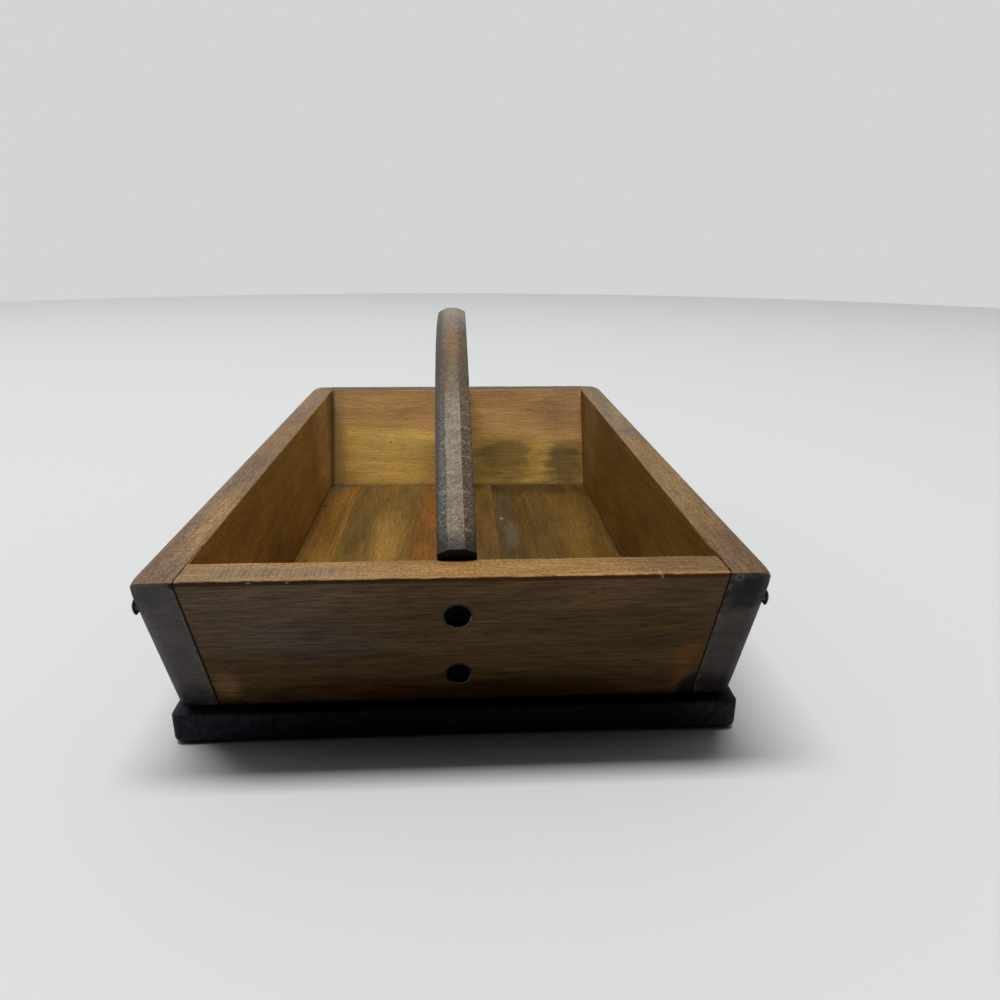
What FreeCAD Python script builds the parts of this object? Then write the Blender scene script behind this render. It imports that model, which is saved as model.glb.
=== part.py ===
import FreeCAD, Part
import os
import Sketcher

# Wooden tool tote: an open tray with upright sides and leaning ends on a glued-up base slab, carried by one
# sawn arch that runs lengthwise. Millimetres and degrees. Origin at the middle of the underside, +Z up,
# Y along the tray, the end that the photograph shows at -Y.

SIZES = {
    # tray
    "tray_width": 234.8,
    "tray_length": 368,
    "wall_height": 70,
    "side_thickness": 18.4,
    "end_thickness": 15,
    "end_lean": 23,
    "wall_joint_gap": 0.1,
    "corner_round": 6.8,
    "rim_outer_round": 0.8,
    "rim_inner_round": 0.7,
    # base slab
    "base_thickness": 14.5,
    "base_end_overhang": 6.2,
    "base_side_overhang": 0.6,
    "base_left_board_width": 41.5,
    "base_middle_board_width": 102,
    "base_joint_gap": 0.1,
    "base_corner_round": 3.2,
    "base_top_round": 1.5,
    "base_bottom_round": 3.4,
    # carrying handle
    "handle_width": 15,
    "handle_depth": 18,
    "handle_rise": 76.8,
    "handle_knee_rise": 4.9,
    "handle_tilt": 1.7,
    "handle_crown_width": 4.4,
    "handle_crown_drop": 2.1,
    "handle_side_round": 1.1,
    "handle_grip_round": 2.4,
    "handle_inner_knee_round": 18,
    "leg_thickness": 16,
    "leg_seat_gap": 0.12,
    "leg_floor_gap": 0.35,
    # screws through the end boards into the legs of the handle, falling on their way in
    "handle_screw_upper_drop": 20,
    "handle_screw_lower_drop": 53.5,
    "handle_screw_fall": 16,
    "handle_screw_head_width": 6.8,
    "handle_screw_head_height": 2.3,
    "handle_screw_head_edge": 0.3,
    "handle_screw_shank": 3.5,
    "handle_screw_core": 2.4,
    "handle_screw_length": 22,
    "handle_screw_smooth_length": 8,
    "handle_screw_point_length": 4,
    "handle_screw_pitch": 1.5,
    "handle_screw_slot_width": 1.1,
    "handle_screw_slot_span": 4,
    "handle_screw_slot_depth": 1.3,
    "handle_screw_bore": 9.6,
    "handle_screw_bore_depth": 6.5,
    # round-head screws through the side boards into the end boards
    "corner_screw_left_drop": 14,
    "corner_screw_right_drop": 15.3,
    "corner_screw_setback": 4.9,
    "corner_screw_head_width": 7,
    "corner_screw_head_height": 1.4,
    "corner_screw_shank": 3.5,
    "corner_screw_core": 2.4,
    "corner_screw_length": 32,
    "corner_screw_smooth_length": 14,
    "corner_screw_point_length": 4,
    "corner_screw_pitch": 1.5,
    "corner_screw_slot_width": 1.1,
    "corner_screw_slot_depth": 0.7,
    # countersunk screws up through the base slab into the walls
    "base_screw_setback": 44.7,
    "base_screw_head_width": 8.2,
    "base_screw_head_height": 2.7,
    "base_screw_head_edge": 0.3,
    "base_screw_shank": 4.2,
    "base_screw_core": 2.9,
    "base_screw_length": 32,
    "base_screw_smooth_length": 13,
    "base_screw_point_length": 4.5,
    "base_screw_pitch": 1.8,
    "base_screw_slot_width": 1.3,
    "base_screw_slot_span": 4.8,
    "base_screw_slot_depth": 1.6,
    "base_screw_recess": 0.4,
    # shared fits
    "screw_clearance": 0.1,
    "cut_overrun": 1,
}

# Places that follow from the sizes, written once and shared by the pieces that meet there.
HALF_WIDTH = "(Sizes.tray_width / 2)"
INNER_HALF_WIDTH = "(Sizes.tray_width / 2 - Sizes.side_thickness)"
HALF_LENGTH = "(Sizes.tray_length / 2)"
RIM = "(Sizes.base_thickness + Sizes.wall_height)"
HALF_FOOT_LENGTH = "(Sizes.tray_length / 2 - Sizes.wall_height * tan(Sizes.end_lean))"
END_SLICE = "(Sizes.end_thickness / cos(Sizes.end_lean))"
HALF_BASE_LENGTH = f"({HALF_FOOT_LENGTH} + Sizes.base_end_overhang)"
HALF_BASE_WIDTH = "(Sizes.tray_width / 2 + Sizes.base_side_overhang)"
LEFT_JOINT = f"(-{HALF_BASE_WIDTH} + Sizes.base_left_board_width)"
RIGHT_JOINT = f"({LEFT_JOINT} + Sizes.base_middle_board_width)"
HALF_JOINT_GAP = "(Sizes.base_joint_gap / 2)"

# Middle of a side board's thickness, and the places of the base screws along it.
SIDE_SCREW_ACROSS = "(Sizes.tray_width / 2 - Sizes.side_thickness / 2)"
SIDE_SCREW_REACH = f"({HALF_FOOT_LENGTH} - Sizes.base_screw_setback)"
SIDE_SCREW_PLACES = (f"-{SIDE_SCREW_REACH}", "0", SIDE_SCREW_REACH)

# How far a base screw reaches into the wall above the slab, and where it stays midway in a leaning end board.
BASE_SCREW_BITE = "(Sizes.base_screw_length + Sizes.base_screw_recess - Sizes.base_thickness)"
END_SCREW_ALONG = f"({HALF_FOOT_LENGTH} - {END_SLICE} / 2 + {BASE_SCREW_BITE} / 2 * tan(Sizes.end_lean))"
MIDDLE_SCREW_ACROSS = f"({LEFT_JOINT} + Sizes.base_middle_board_width / 2)"
RIGHT_SCREW_ACROSS = f"(({RIGHT_JOINT} + {INNER_HALF_WIDTH}) / 2)"

# Outer face of a handle leg at the rim, the height of the arch over its knees, and the arch's radius.
LEG_AT_RIM = f"({HALF_LENGTH} - (Sizes.end_thickness + Sizes.leg_seat_gap) / cos(Sizes.end_lean))"
KNEE_ALONG = f"({LEG_AT_RIM} + Sizes.handle_knee_rise * tan(Sizes.end_lean))"
ARCH_HEIGHT = "(Sizes.handle_rise - Sizes.handle_knee_rise)"
ARCH_RADIUS = f"(({KNEE_ALONG} ^ 2 + {ARCH_HEIGHT} ^ 2) / (2 * {ARCH_HEIGHT}))"
LEG_DROP = "(Sizes.wall_height - Sizes.leg_floor_gap)"
LEG_SLICE = "(Sizes.leg_thickness / cos(Sizes.end_lean))"

UP = FreeCAD.Vector(0, 0, 1)
ALONG_X = FreeCAD.Vector(1, 0, 0)
ALONG_Y = FreeCAD.Vector(0, 1, 0)
HALF_TURN = 180
FULL_TURN = 360
QUARTER_TURN = 90

document = FreeCAD.newDocument("tool_tote")
sheet = document.addObject("Spreadsheet::Sheet", "Sizes")
for row, (alias, size) in enumerate(SIZES.items(), start=1):
    sheet.set(f"A{row}", alias.replace("_", " "))
    sheet.set(f"B{row}", str(size))
    sheet.setAlias(f"B{row}", alias)
document.recompute()

parts = []
cuts = []


def value(expression):
    """The number that an expression on the sheet gives now."""
    result = sheet.evalExpression(expression.replace("Sizes.", ""))
    return float(getattr(result, "Value", result))


def new_body(label):
    """An empty body that carries a part's name."""
    body = document.addObject("PartDesign::Body", label)
    body.Label = label
    return body


def set_place(thing, axis, angle, across="0", along="0", height="0"):
    """Puts a part at its place: turned about one axis, then moved."""
    thing.Placement = FreeCAD.Placement(FreeCAD.Vector(), FreeCAD.Rotation(axis, value(angle)))
    if value(angle):
        thing.setExpression("Placement.Rotation.Angle", angle)
    thing.setExpression("Placement.Base.x", across)
    thing.setExpression("Placement.Base.y", along)
    thing.setExpression("Placement.Base.z", height)


def new_sketch(body, name, role, raise_by=None, move=None, turn=None):
    """A sketch on one of the body's own origin planes, raised off it, or moved and turned within it."""
    sketch = body.newObject("Sketcher::SketchObject", f"{body.Name}_{name}")
    plane = next(item for item in body.Origin.OriginFeatures if item.Role == role)
    sketch.AttachmentSupport = [(plane, "")]
    sketch.MapMode = "FlatFace"
    if turn is not None:
        sketch.AttachmentOffset = FreeCAD.Placement(FreeCAD.Vector(), FreeCAD.Rotation(UP, value(turn)))
        sketch.setExpression("AttachmentOffset.Rotation.Angle", turn)
    if move is not None:
        sketch.setExpression("AttachmentOffset.Base.x", move[0])
        sketch.setExpression("AttachmentOffset.Base.y", move[1])
    if raise_by is not None:
        sketch.setExpression("AttachmentOffset.Base.z", raise_by)
    return sketch


def bind(sketch, kind, *where, size):
    """A dimension between the named ends, bound to an expression."""
    index = sketch.addConstraint(Sketcher.Constraint(kind, *where, value(size)))
    sketch.setExpression(f"Constraints[{index}]", size)


def pin_point(sketch, edge, end, across, up):
    """Holds one end of an edge at a place measured from the sketch's origin."""
    bind(sketch, "DistanceX", -1, 1, edge, end, size=across)
    bind(sketch, "DistanceY", -1, 1, edge, end, size=up)


def draw_outline(sketch, corners, domes=None):
    """A closed outline through the corners. domes gives the radius of an arc that replaces a straight run:
    its centre lies on the sketch's upright axis, below the arc."""
    domes = domes or {}
    points = [FreeCAD.Vector(value(across), value(up), 0) for across, up in corners]
    count = len(points)
    for index, start in enumerate(points):
        end = points[(index + 1) % count]
        if index in domes:
            radius = value(domes[index])
            top = max(start.y, end.y)
            circle = Part.Circle(FreeCAD.Vector(0, top - radius, 0), UP, radius)
            sketch.addGeometry(Part.ArcOfCircle(circle, circle.parameter(start), circle.parameter(end)), False)
        else:
            sketch.addGeometry(Part.LineSegment(start, end), False)
    for index in range(count):
        sketch.addConstraint(Sketcher.Constraint("Coincident", index, 2, (index + 1) % count, 1))
    for index, (across, up) in enumerate(corners):
        pin_point(sketch, index, 1, across, up)
    for index, radius in domes.items():
        bind(sketch, "Radius", index, size=radius)


def draw_circles(sketch, centres, diameter):
    """Circles of one diameter."""
    for index, (across, up) in enumerate(centres):
        centre = FreeCAD.Vector(value(across), value(up), 0)
        sketch.addGeometry(Part.Circle(centre, UP, value(diameter) / 2), False)
        pin_point(sketch, index, 3, across, up)
        bind(sketch, "Diameter", index, size=diameter)


def add_pad(body, sketch, length, symmetric=False):
    """Raises a sketch into a solid."""
    pad = body.newObject("PartDesign::Pad", f"{sketch.Name}_pad")
    pad.Profile = sketch
    pad.SideType = "Symmetric" if symmetric else "One side"
    pad.setExpression("Length", length)
    document.recompute()
    return pad


def check_cut(feature):
    """Notes a cut, so that one that takes nothing away is found."""
    document.recompute()
    cuts.append(feature)
    return feature


def add_pocket(body, sketch, depth, reverse=False):
    """Sinks a sketch into the solid."""
    pocket = body.newObject("PartDesign::Pocket", f"{sketch.Name}_pocket")
    pocket.Profile = sketch
    pocket.Reversed = reverse
    pocket.setExpression("Length", depth)
    return check_cut(pocket)


def add_turning(body, sketch, kind):
    """Turns a sketch fully about its own upright axis, adding or cutting."""
    turning = body.newObject(f"PartDesign::{kind}", f"{sketch.Name}_{kind.lower()}")
    turning.Profile = sketch
    turning.ReferenceAxis = (sketch, ["V_Axis"])
    turning.Angle = FULL_TURN
    if kind == "Groove":
        return check_cut(turning)
    document.recompute()
    return turning


def find_edges(feature, wanted):
    """Names of the edges whose box, middle and direction pass a test."""
    names = []
    for index, edge in enumerate(feature.Shape.Edges, start=1):
        middle = edge.valueAt((edge.FirstParameter + edge.LastParameter) / 2)
        start = edge.valueAt(edge.FirstParameter)
        end = edge.valueAt(edge.LastParameter)
        if wanted(middle, end - start, edge):
            names.append(f"Edge{index}")
    return names


def round_edges(body, feature, name, radius, wanted):
    """Rounds the edges that pass a test."""
    names = find_edges(feature, wanted)
    fillet = body.newObject("PartDesign::Fillet", f"{body.Name}_{name}")
    fillet.Base = (feature, names)
    fillet.setExpression("Radius", radius)
    document.recompute()
    return fillet


def near(first, second):
    """Whether two lengths are the same within a hair."""
    return abs(first - second) < value("Sizes.screw_clearance") / 2


def corner_screw_place(hand):
    """Where a corner screw lies, along and up: in the end board's thickness, set back from its outer face."""
    drop = f"Sizes.corner_screw_{hand}_drop"
    setback = "Sizes.corner_screw_setback / cos(Sizes.end_lean)"
    return f"({HALF_LENGTH} - {drop} * tan(Sizes.end_lean) - {setback})", f"({RIM} - {drop})"


def keep(thing):
    """Adds a finished part to the ones that are written out."""
    parts.append(thing)
    return thing


def make_side_board(label, turn, hand):
    """A long upright wall. It is drawn as the right one; the left one is turned round. The corner screws of
    each hand have a height of their own."""
    body = new_body(label)
    sketch = new_sketch(body, "outline", "YZ_Plane", raise_by=INNER_HALF_WIDTH)
    draw_outline(sketch, [
        (f"-{HALF_FOOT_LENGTH}", "Sizes.base_thickness"),
        (HALF_FOOT_LENGTH, "Sizes.base_thickness"),
        (HALF_LENGTH, RIM),
        (f"-{HALF_LENGTH}", RIM),
    ])
    board = add_pad(body, sketch, "Sizes.side_thickness")
    outer = value(HALF_WIDTH)
    rim = value(RIM)
    board = round_edges(
        body, board, "ends", "Sizes.corner_round",
        lambda middle, run, edge: near(middle.x, outer) and run.z,
    )
    board = round_edges(
        body, board, "rim_outside", "Sizes.rim_outer_round",
        lambda middle, run, edge: near(middle.z, rim) and not near(middle.x, value(INNER_HALF_WIDTH)),
    )
    board = round_edges(
        body, board, "rim_inside", "Sizes.rim_inner_round",
        lambda middle, run, edge: near(middle.z, rim) and near(middle.x, value(INNER_HALF_WIDTH)),
    )
    drill_from_below(body, [(SIDE_SCREW_ACROSS, along) for along in SIDE_SCREW_PLACES])
    along, height = corner_screw_place(hand)
    holes = new_sketch(body, "corner_holes", "YZ_Plane", raise_by=HALF_WIDTH)
    draw_circles(
        holes, [(f"-{along}", height), (along, height)], "Sizes.corner_screw_shank + Sizes.screw_clearance",
    )
    add_pocket(body, holes, "Sizes.side_thickness + Sizes.cut_overrun")
    set_place(body, UP, turn)
    return keep(body)


def drill_from_below(body, centres):
    """Pilot holes for the base screws in the underside of a wall."""
    holes = new_sketch(body, "base_holes", "XY_Plane", raise_by="Sizes.base_thickness")
    draw_circles(holes, centres, "Sizes.base_screw_shank + Sizes.screw_clearance")
    add_pocket(body, holes, f"{BASE_SCREW_BITE} + Sizes.screw_clearance", reverse=True)


def make_end_board(label, turn, side):
    """A short leaning wall between the side boards. It is drawn as the back one; the front one is turned round,
    and side says which way its own X runs then."""
    body = new_body(label)
    sketch = new_sketch(body, "outline", "YZ_Plane")
    draw_outline(sketch, [
        (f"{HALF_FOOT_LENGTH} - {END_SLICE}", "Sizes.base_thickness"),
        (HALF_FOOT_LENGTH, "Sizes.base_thickness"),
        (HALF_LENGTH, RIM),
        (f"{HALF_LENGTH} - {END_SLICE}", RIM),
    ])
    board = add_pad(body, sketch, f"2 * ({INNER_HALF_WIDTH} - Sizes.wall_joint_gap)", symmetric=True)
    rim = value(RIM)
    board = round_edges(
        body, board, "rim_outside", "Sizes.rim_outer_round",
        lambda middle, run, edge: near(middle.z, rim) and near(middle.y, value(HALF_LENGTH)),
    )
    round_edges(
        body, board, "rim_inside", "Sizes.rim_inner_round",
        lambda middle, run, edge: near(middle.z, rim) and near(middle.y, value(f"{HALF_LENGTH} - {END_SLICE}")),
    )
    drill_from_below(body, [
        (f"{side} * {MIDDLE_SCREW_ACROSS}", END_SCREW_ALONG),
        (f"{side} * {RIGHT_SCREW_ACROSS}", END_SCREW_ALONG),
    ])
    for name in ("upper", "lower"):
        bore_for_handle_screw(body, name)
    bite = "(Sizes.corner_screw_length - Sizes.side_thickness + Sizes.screw_clearance)"
    left_face, right_face = (("left", "right") if side == "1" else ("right", "left"))
    for hand, edge, reverse in ((left_face, f"-{INNER_HALF_WIDTH}", True), (right_face, INNER_HALF_WIDTH, False)):
        hole = new_sketch(body, f"corner_hole_{hand}", "YZ_Plane", raise_by=edge)
        draw_circles(hole, [corner_screw_place(hand)], "Sizes.corner_screw_shank + Sizes.screw_clearance")
        add_pocket(body, hole, bite, reverse=reverse)
    set_place(body, UP, turn)
    return keep(body)


def bore_for_handle_screw(body, name):
    """A bore that falls on its way in from the outer face: a wide straight bore, a cone for the head at its
    bottom, and a shank hole."""
    drop = f"Sizes.handle_screw_{name}_drop"
    sketch = new_sketch(
        body, f"{name}_bore", "YZ_Plane",
        move=(f"{HALF_LENGTH} - {drop} * tan(Sizes.end_lean)", f"{RIM} - {drop}"),
        turn=f"-({QUARTER_TURN} - Sizes.handle_screw_fall)",
    )
    cone_top = "(Sizes.handle_screw_bore_depth + Sizes.handle_screw_head_edge)"
    cone_end = "(Sizes.handle_screw_bore_depth + Sizes.handle_screw_head_height)"
    shank = "(Sizes.handle_screw_shank / 2 + Sizes.screw_clearance / 2)"
    head = "(Sizes.handle_screw_head_width / 2 + Sizes.screw_clearance / 2)"
    slant = "(Sizes.end_lean + Sizes.handle_screw_fall)"
    outside = f"(Sizes.handle_screw_bore / 2 * tan({slant}) + Sizes.cut_overrun)"
    far_side = f"-(Sizes.end_thickness / cos({slant}) + Sizes.handle_screw_shank + Sizes.cut_overrun)"
    draw_outline(sketch, [
        ("0", outside),
        ("0", far_side),
        (shank, far_side),
        (shank, f"-{cone_end}"),
        (head, f"-{cone_top}"),
        (head, "-Sizes.handle_screw_bore_depth"),
        ("Sizes.handle_screw_bore / 2", "-Sizes.handle_screw_bore_depth"),
        ("Sizes.handle_screw_bore / 2", outside),
    ])
    add_turning(body, sketch, "Groove")


def make_base_board(label, left_edge, right_edge, screws):
    """One board of the base slab, between two places across the slab, with countersunk holes for its screws."""
    body = new_body(label)
    sketch = new_sketch(body, "outline", "XY_Plane")
    draw_outline(sketch, [
        (left_edge, f"-{HALF_BASE_LENGTH}"),
        (right_edge, f"-{HALF_BASE_LENGTH}"),
        (right_edge, HALF_BASE_LENGTH),
        (left_edge, HALF_BASE_LENGTH),
    ])
    board = add_pad(body, sketch, "Sizes.base_thickness")
    slab_edge = value(HALF_BASE_WIDTH)
    top = value("Sizes.base_thickness")

    def is_slab_edge(across):
        return near(abs(across), slab_edge)

    if is_slab_edge(value(left_edge)) or is_slab_edge(value(right_edge)):
        board = round_edges(
            body, board, "corners", "Sizes.base_corner_round",
            lambda middle, run, edge: run.z and is_slab_edge(middle.x),
        )

    def is_outside(middle):
        joints = (value(LEFT_JOINT), value(RIGHT_JOINT))
        return not any(abs(middle.x - joint) < value("Sizes.base_joint_gap") for joint in joints)

    board = round_edges(
        body, board, "top_arris", "Sizes.base_top_round",
        lambda middle, run, edge: near(middle.z, top) and is_outside(middle),
    )
    round_edges(
        body, board, "bottom_arris", "Sizes.base_bottom_round",
        lambda middle, run, edge: near(middle.z, 0) and is_outside(middle),
    )
    for index, (across, along) in enumerate(screws):
        bore_for_base_screw(body, index, across, along)
    set_place(body, UP, "0")
    return keep(body)


def bore_for_base_screw(body, index, across, along):
    """A countersunk hole up through the slab, for a head that sits a little under the surface."""
    sketch = new_sketch(body, f"screw_hole_{index}", "XZ_Plane", move=(across, "0"), raise_by=f"-{along}")
    head = "(Sizes.base_screw_head_width / 2 + Sizes.screw_clearance / 2)"
    shank = "(Sizes.base_screw_shank / 2 + Sizes.screw_clearance / 2)"
    draw_outline(sketch, [
        ("0", "-Sizes.cut_overrun"),
        (head, "-Sizes.cut_overrun"),
        (head, "Sizes.base_screw_recess + Sizes.base_screw_head_edge"),
        (shank, "Sizes.base_screw_recess + Sizes.base_screw_head_height"),
        (shank, "Sizes.base_thickness + Sizes.cut_overrun"),
        ("0", "Sizes.base_thickness + Sizes.cut_overrun"),
    ])
    add_turning(body, sketch, "Groove")


def make_handle(label):
    """The sawn arch with its two legs, in its own frame: the middle of the rim is its origin. The crown along
    the top has a flat facet with a sloping facet at each side. The arch stands a little out of plumb."""
    body = new_body(f"{label}_blank")
    sketch = new_sketch(body, "outline", "YZ_Plane")
    draw_handle_outline(sketch)
    blank = add_pad(body, sketch, "Sizes.handle_width", symmetric=True)
    side = value("Sizes.handle_width") / 2
    radius = value(ARCH_RADIUS)
    blank = round_edges(
        body, blank, "inner_knees", "Sizes.handle_inner_knee_round",
        lambda middle, run, edge: near(middle.x, 0) and near(middle.z, value(inner_knee_height(sketch))),
    )
    crown = body.newObject("PartDesign::Chamfer", f"{body.Name}_crown")
    crown.ChamferType = "Two distances"
    crown.Base = (blank, find_edges(blank, lambda middle, run, edge: is_arc(edge, radius)))
    crown.setExpression("Size", "Sizes.handle_crown_drop")
    crown.setExpression("Size2", "Sizes.handle_crown_width")
    document.recompute()
    lower_radius = value(f"{ARCH_RADIUS} - Sizes.handle_crown_drop")
    softened = round_edges(
        body, crown, "shoulders", "Sizes.handle_side_round",
        lambda middle, run, edge: is_arc(edge, lower_radius),
    )
    inner_radius = value(f"{ARCH_RADIUS} - Sizes.handle_depth")
    round_edges(
        body, softened, "grip", "Sizes.handle_grip_round",
        lambda middle, run, edge: near(abs(middle.x), side) and is_arc(edge, inner_radius),
    )
    set_place(body, ALONG_Y, "-Sizes.handle_tilt", height=RIM)
    holes = [drill_leg(name, end) for end in ("front", "back") for name in ("upper", "lower")]
    drill = document.addObject("Part::MultiFuse", "leg_holes")
    drill.Shapes = holes
    handle = document.addObject("Part::Cut", label)
    handle.Label = label
    handle.Base = body
    handle.Tool = drill
    check_cut(handle)
    return keep(handle)


def is_arc(edge, radius):
    """Whether an edge is an arc of a given radius."""
    return isinstance(edge.Curve, Part.Circle) and near(edge.Curve.Radius, radius)


def inner_knee_height(sketch):
    """Height of the corner between a leg's inner face and the underside of the arch."""
    return str(sketch.getPoint(3, 2).y)


def draw_handle_outline(sketch):
    """Right leg, outer arch, left leg, and the underside of the arch, which is round the same centre."""
    knee = value(KNEE_ALONG)
    knee_rise = value("Sizes.handle_knee_rise")
    radius = value(ARCH_RADIUS)
    centre = FreeCAD.Vector(0, value("Sizes.handle_rise") - radius, 0)
    foot_along = f"({LEG_AT_RIM} - {LEG_DROP} * tan(Sizes.end_lean))"
    foot = value(foot_along)
    foot_drop = value(LEG_DROP)
    inner_foot = value(f"{foot_along} - {LEG_SLICE}")
    inner_radius = radius - value("Sizes.handle_depth")
    guess = FreeCAD.Vector(value(f"{LEG_AT_RIM} - {LEG_SLICE}"), 0, 0)
    mirrored_guess = FreeCAD.Vector(-guess.x, guess.y, 0)

    def arc(arc_radius, start, end):
        circle = Part.Circle(centre, UP, arc_radius)
        return Part.ArcOfCircle(circle, circle.parameter(start), circle.parameter(end))

    outline = [
        Part.LineSegment(FreeCAD.Vector(foot, -foot_drop, 0), FreeCAD.Vector(knee, knee_rise, 0)),
        arc(radius, FreeCAD.Vector(knee, knee_rise, 0), FreeCAD.Vector(-knee, knee_rise, 0)),
        Part.LineSegment(FreeCAD.Vector(-knee, knee_rise, 0), FreeCAD.Vector(-foot, -foot_drop, 0)),
        Part.LineSegment(FreeCAD.Vector(-inner_foot, -foot_drop, 0), mirrored_guess),
        arc(inner_radius, guess, mirrored_guess),
        Part.LineSegment(guess, FreeCAD.Vector(inner_foot, -foot_drop, 0)),
        Part.LineSegment(FreeCAD.Vector(-foot, -foot_drop, 0), FreeCAD.Vector(-inner_foot, -foot_drop, 0)),
        Part.LineSegment(FreeCAD.Vector(inner_foot, -foot_drop, 0), FreeCAD.Vector(foot, -foot_drop, 0)),
    ]
    for edge in outline:
        sketch.addGeometry(edge, False)
    meetings = [(0, 2, 1, 1), (1, 2, 2, 1), (2, 2, 6, 1), (6, 2, 3, 1), (3, 2, 4, 2), (4, 1, 5, 1), (5, 2, 7, 1),
                (7, 2, 0, 1)]
    for meeting in meetings:
        sketch.addConstraint(Sketcher.Constraint("Coincident", *meeting))
    pin_point(sketch, 0, 1, foot_along, f"-{LEG_DROP}")
    pin_point(sketch, 0, 2, KNEE_ALONG, "Sizes.handle_knee_rise")
    pin_point(sketch, 2, 1, f"-{KNEE_ALONG}", "Sizes.handle_knee_rise")
    pin_point(sketch, 2, 2, f"-{foot_along}", f"-{LEG_DROP}")
    pin_point(sketch, 3, 1, f"-({foot_along} - {LEG_SLICE})", f"-{LEG_DROP}")
    pin_point(sketch, 5, 2, f"{foot_along} - {LEG_SLICE}", f"-{LEG_DROP}")
    bind(sketch, "Radius", 1, size=ARCH_RADIUS)
    sketch.addConstraint(Sketcher.Constraint("Coincident", 4, 3, 1, 3))
    bind(sketch, "Radius", 4, size=f"{ARCH_RADIUS} - Sizes.handle_depth")
    sketch.addConstraint(Sketcher.Constraint("Parallel", 3, 2))
    sketch.addConstraint(Sketcher.Constraint("Parallel", 5, 0))
    document.recompute()


def drill_leg(name, end):
    """A pilot hole in a leg, in line with the bore of the end board."""
    side = "-1" if end == "front" else "1"
    hole = document.addObject("Part::Cylinder", f"leg_hole_{end}_{name}")
    hole.setExpression("Radius", "Sizes.handle_screw_shank / 2 + Sizes.screw_clearance / 2")
    start = "(Sizes.handle_screw_bore_depth + Sizes.handle_screw_head_height)"
    hole.setExpression(
        "Height", f"Sizes.handle_screw_bore_depth + Sizes.handle_screw_length + Sizes.screw_clearance - {start}",
    )
    across, along, height = handle_screw_place(name, side, start)
    set_place(hole, ALONG_X, f"{side} * ({QUARTER_TURN} + Sizes.handle_screw_fall)", across, along, height)
    return hole


def handle_screw_place(name, side, depth):
    """A point on the axis of a handle screw, a given depth in from the end board's outer face."""
    drop = f"Sizes.handle_screw_{name}_drop"
    along = f"{side} * ({HALF_LENGTH} - {drop} * tan(Sizes.end_lean) - {depth} * cos(Sizes.handle_screw_fall))"
    height = f"{RIM} - {drop} - {depth} * sin(Sizes.handle_screw_fall)"
    return "0", along, height


def make_screw(label, kind, round_head=False):
    """A wood screw in its own frame: head up, the shank down -Z. A flat head's top is at the origin; a round
    head's seat is. The thread is a row of rings of the thread's own depth and pitch."""
    body = new_body(label)
    size = {
        name: f"Sizes.{kind}_screw_{name}"
        for name in ("head_width", "head_height", "shank", "core", "length", "smooth_length", "point_length",
                     "pitch", "slot_width", "slot_depth")
    }
    profile = new_sketch(body, "profile", "XZ_Plane")
    tail = [
        (f"{size['shank']} / 2", f"-({size['length']} - {size['point_length']})"),
        ("0", f"-{size['length']}"),
    ]
    if round_head:
        dome = f"(({size['head_width']} / 2) ^ 2 + {size['head_height']} ^ 2) / (2 * {size['head_height']})"
        corners = [(f"{size['head_width']} / 2", "0"), ("0", size["head_height"])]
        corners += [tail[1], tail[0], (f"{size['shank']} / 2", "0")]
        draw_outline(profile, corners, domes={0: dome})
        top = size["head_height"]
    else:
        edge = f"Sizes.{kind}_screw_head_edge"
        draw_outline(profile, [
            ("0", "0"),
            ("0", tail[1][1]),
            tail[0],
            (f"{size['shank']} / 2", f"-{size['head_height']}"),
            (f"{size['head_width']} / 2", f"-{edge}"),
            (f"{size['head_width']} / 2", "0"),
        ])
        top = "0"
    add_turning(body, profile, "Revolution")
    cut_thread(body, size)
    slot = new_sketch(body, "slot", "XY_Plane", raise_by=top)
    half_slot = f"{size['slot_width']} / 2"
    if round_head:
        reach = f"{size['head_width']} / 2"
        corners = [(f"-{reach}", f"-{half_slot}"), (reach, f"-{half_slot}"), (reach, half_slot),
                   (f"-{reach}", half_slot)]
    else:
        reach = f"Sizes.{kind}_screw_slot_span / 2"
        quarter = [(reach, half_slot), (half_slot, half_slot), (half_slot, reach)]
        corners = quarter + [(f"-({across})", up) for across, up in reversed(quarter)]
        corners += [(f"-({across})", f"-({up})") for across, up in quarter]
        corners += [(across, f"-({up})") for across, up in reversed(quarter)]
    draw_outline(slot, corners)
    body.Tip = add_pocket(body, slot, size["slot_depth"])
    return keep(body)


def cut_thread(body, size):
    """Cuts one ring between two thread crests and repeats it down to the point."""
    ring = new_sketch(body, "thread", "XZ_Plane")
    start = f"{size['smooth_length']}"
    crest = f"{size['shank']} / 2"
    draw_outline(ring, [
        (crest, f"-{start}"),
        (f"{size['core']} / 2", f"-({start} + {size['pitch']} / 2)"),
        (crest, f"-({start} + {size['pitch']})"),
    ])
    groove = add_turning(body, ring, "Groove")
    threaded = value(f"{size['length']} - {size['point_length']} - {size['smooth_length']}")
    rings = max(int(threaded / value(size["pitch"])), 1)
    if rings > 1:
        pattern = body.newObject("PartDesign::LinearPattern", f"{body.Name}_rings")
        pattern.Originals = [groove]
        pattern.Direction = (ring, ["V_Axis"])
        pattern.Reversed = True
        pattern.setExpression("Length", f"{size['pitch']} * {rings - 1}")
        pattern.Occurrences = rings
        body.Tip = pattern
    document.recompute()


def fit_handle_screws():
    """Four flat-head screws, with their heads at the bottom of the bores."""
    for end, side in (("front", "-1"), ("back", "1")):
        for name in ("upper", "lower"):
            screw = make_screw(f"handle_screw_{end}_{name}", "handle")
            across, along, height = handle_screw_place(name, side, "Sizes.handle_screw_bore_depth")
            angle = f"-{side} * ({QUARTER_TURN} - Sizes.handle_screw_fall)"
            set_place(screw, ALONG_X, angle, across, along, height)


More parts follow.
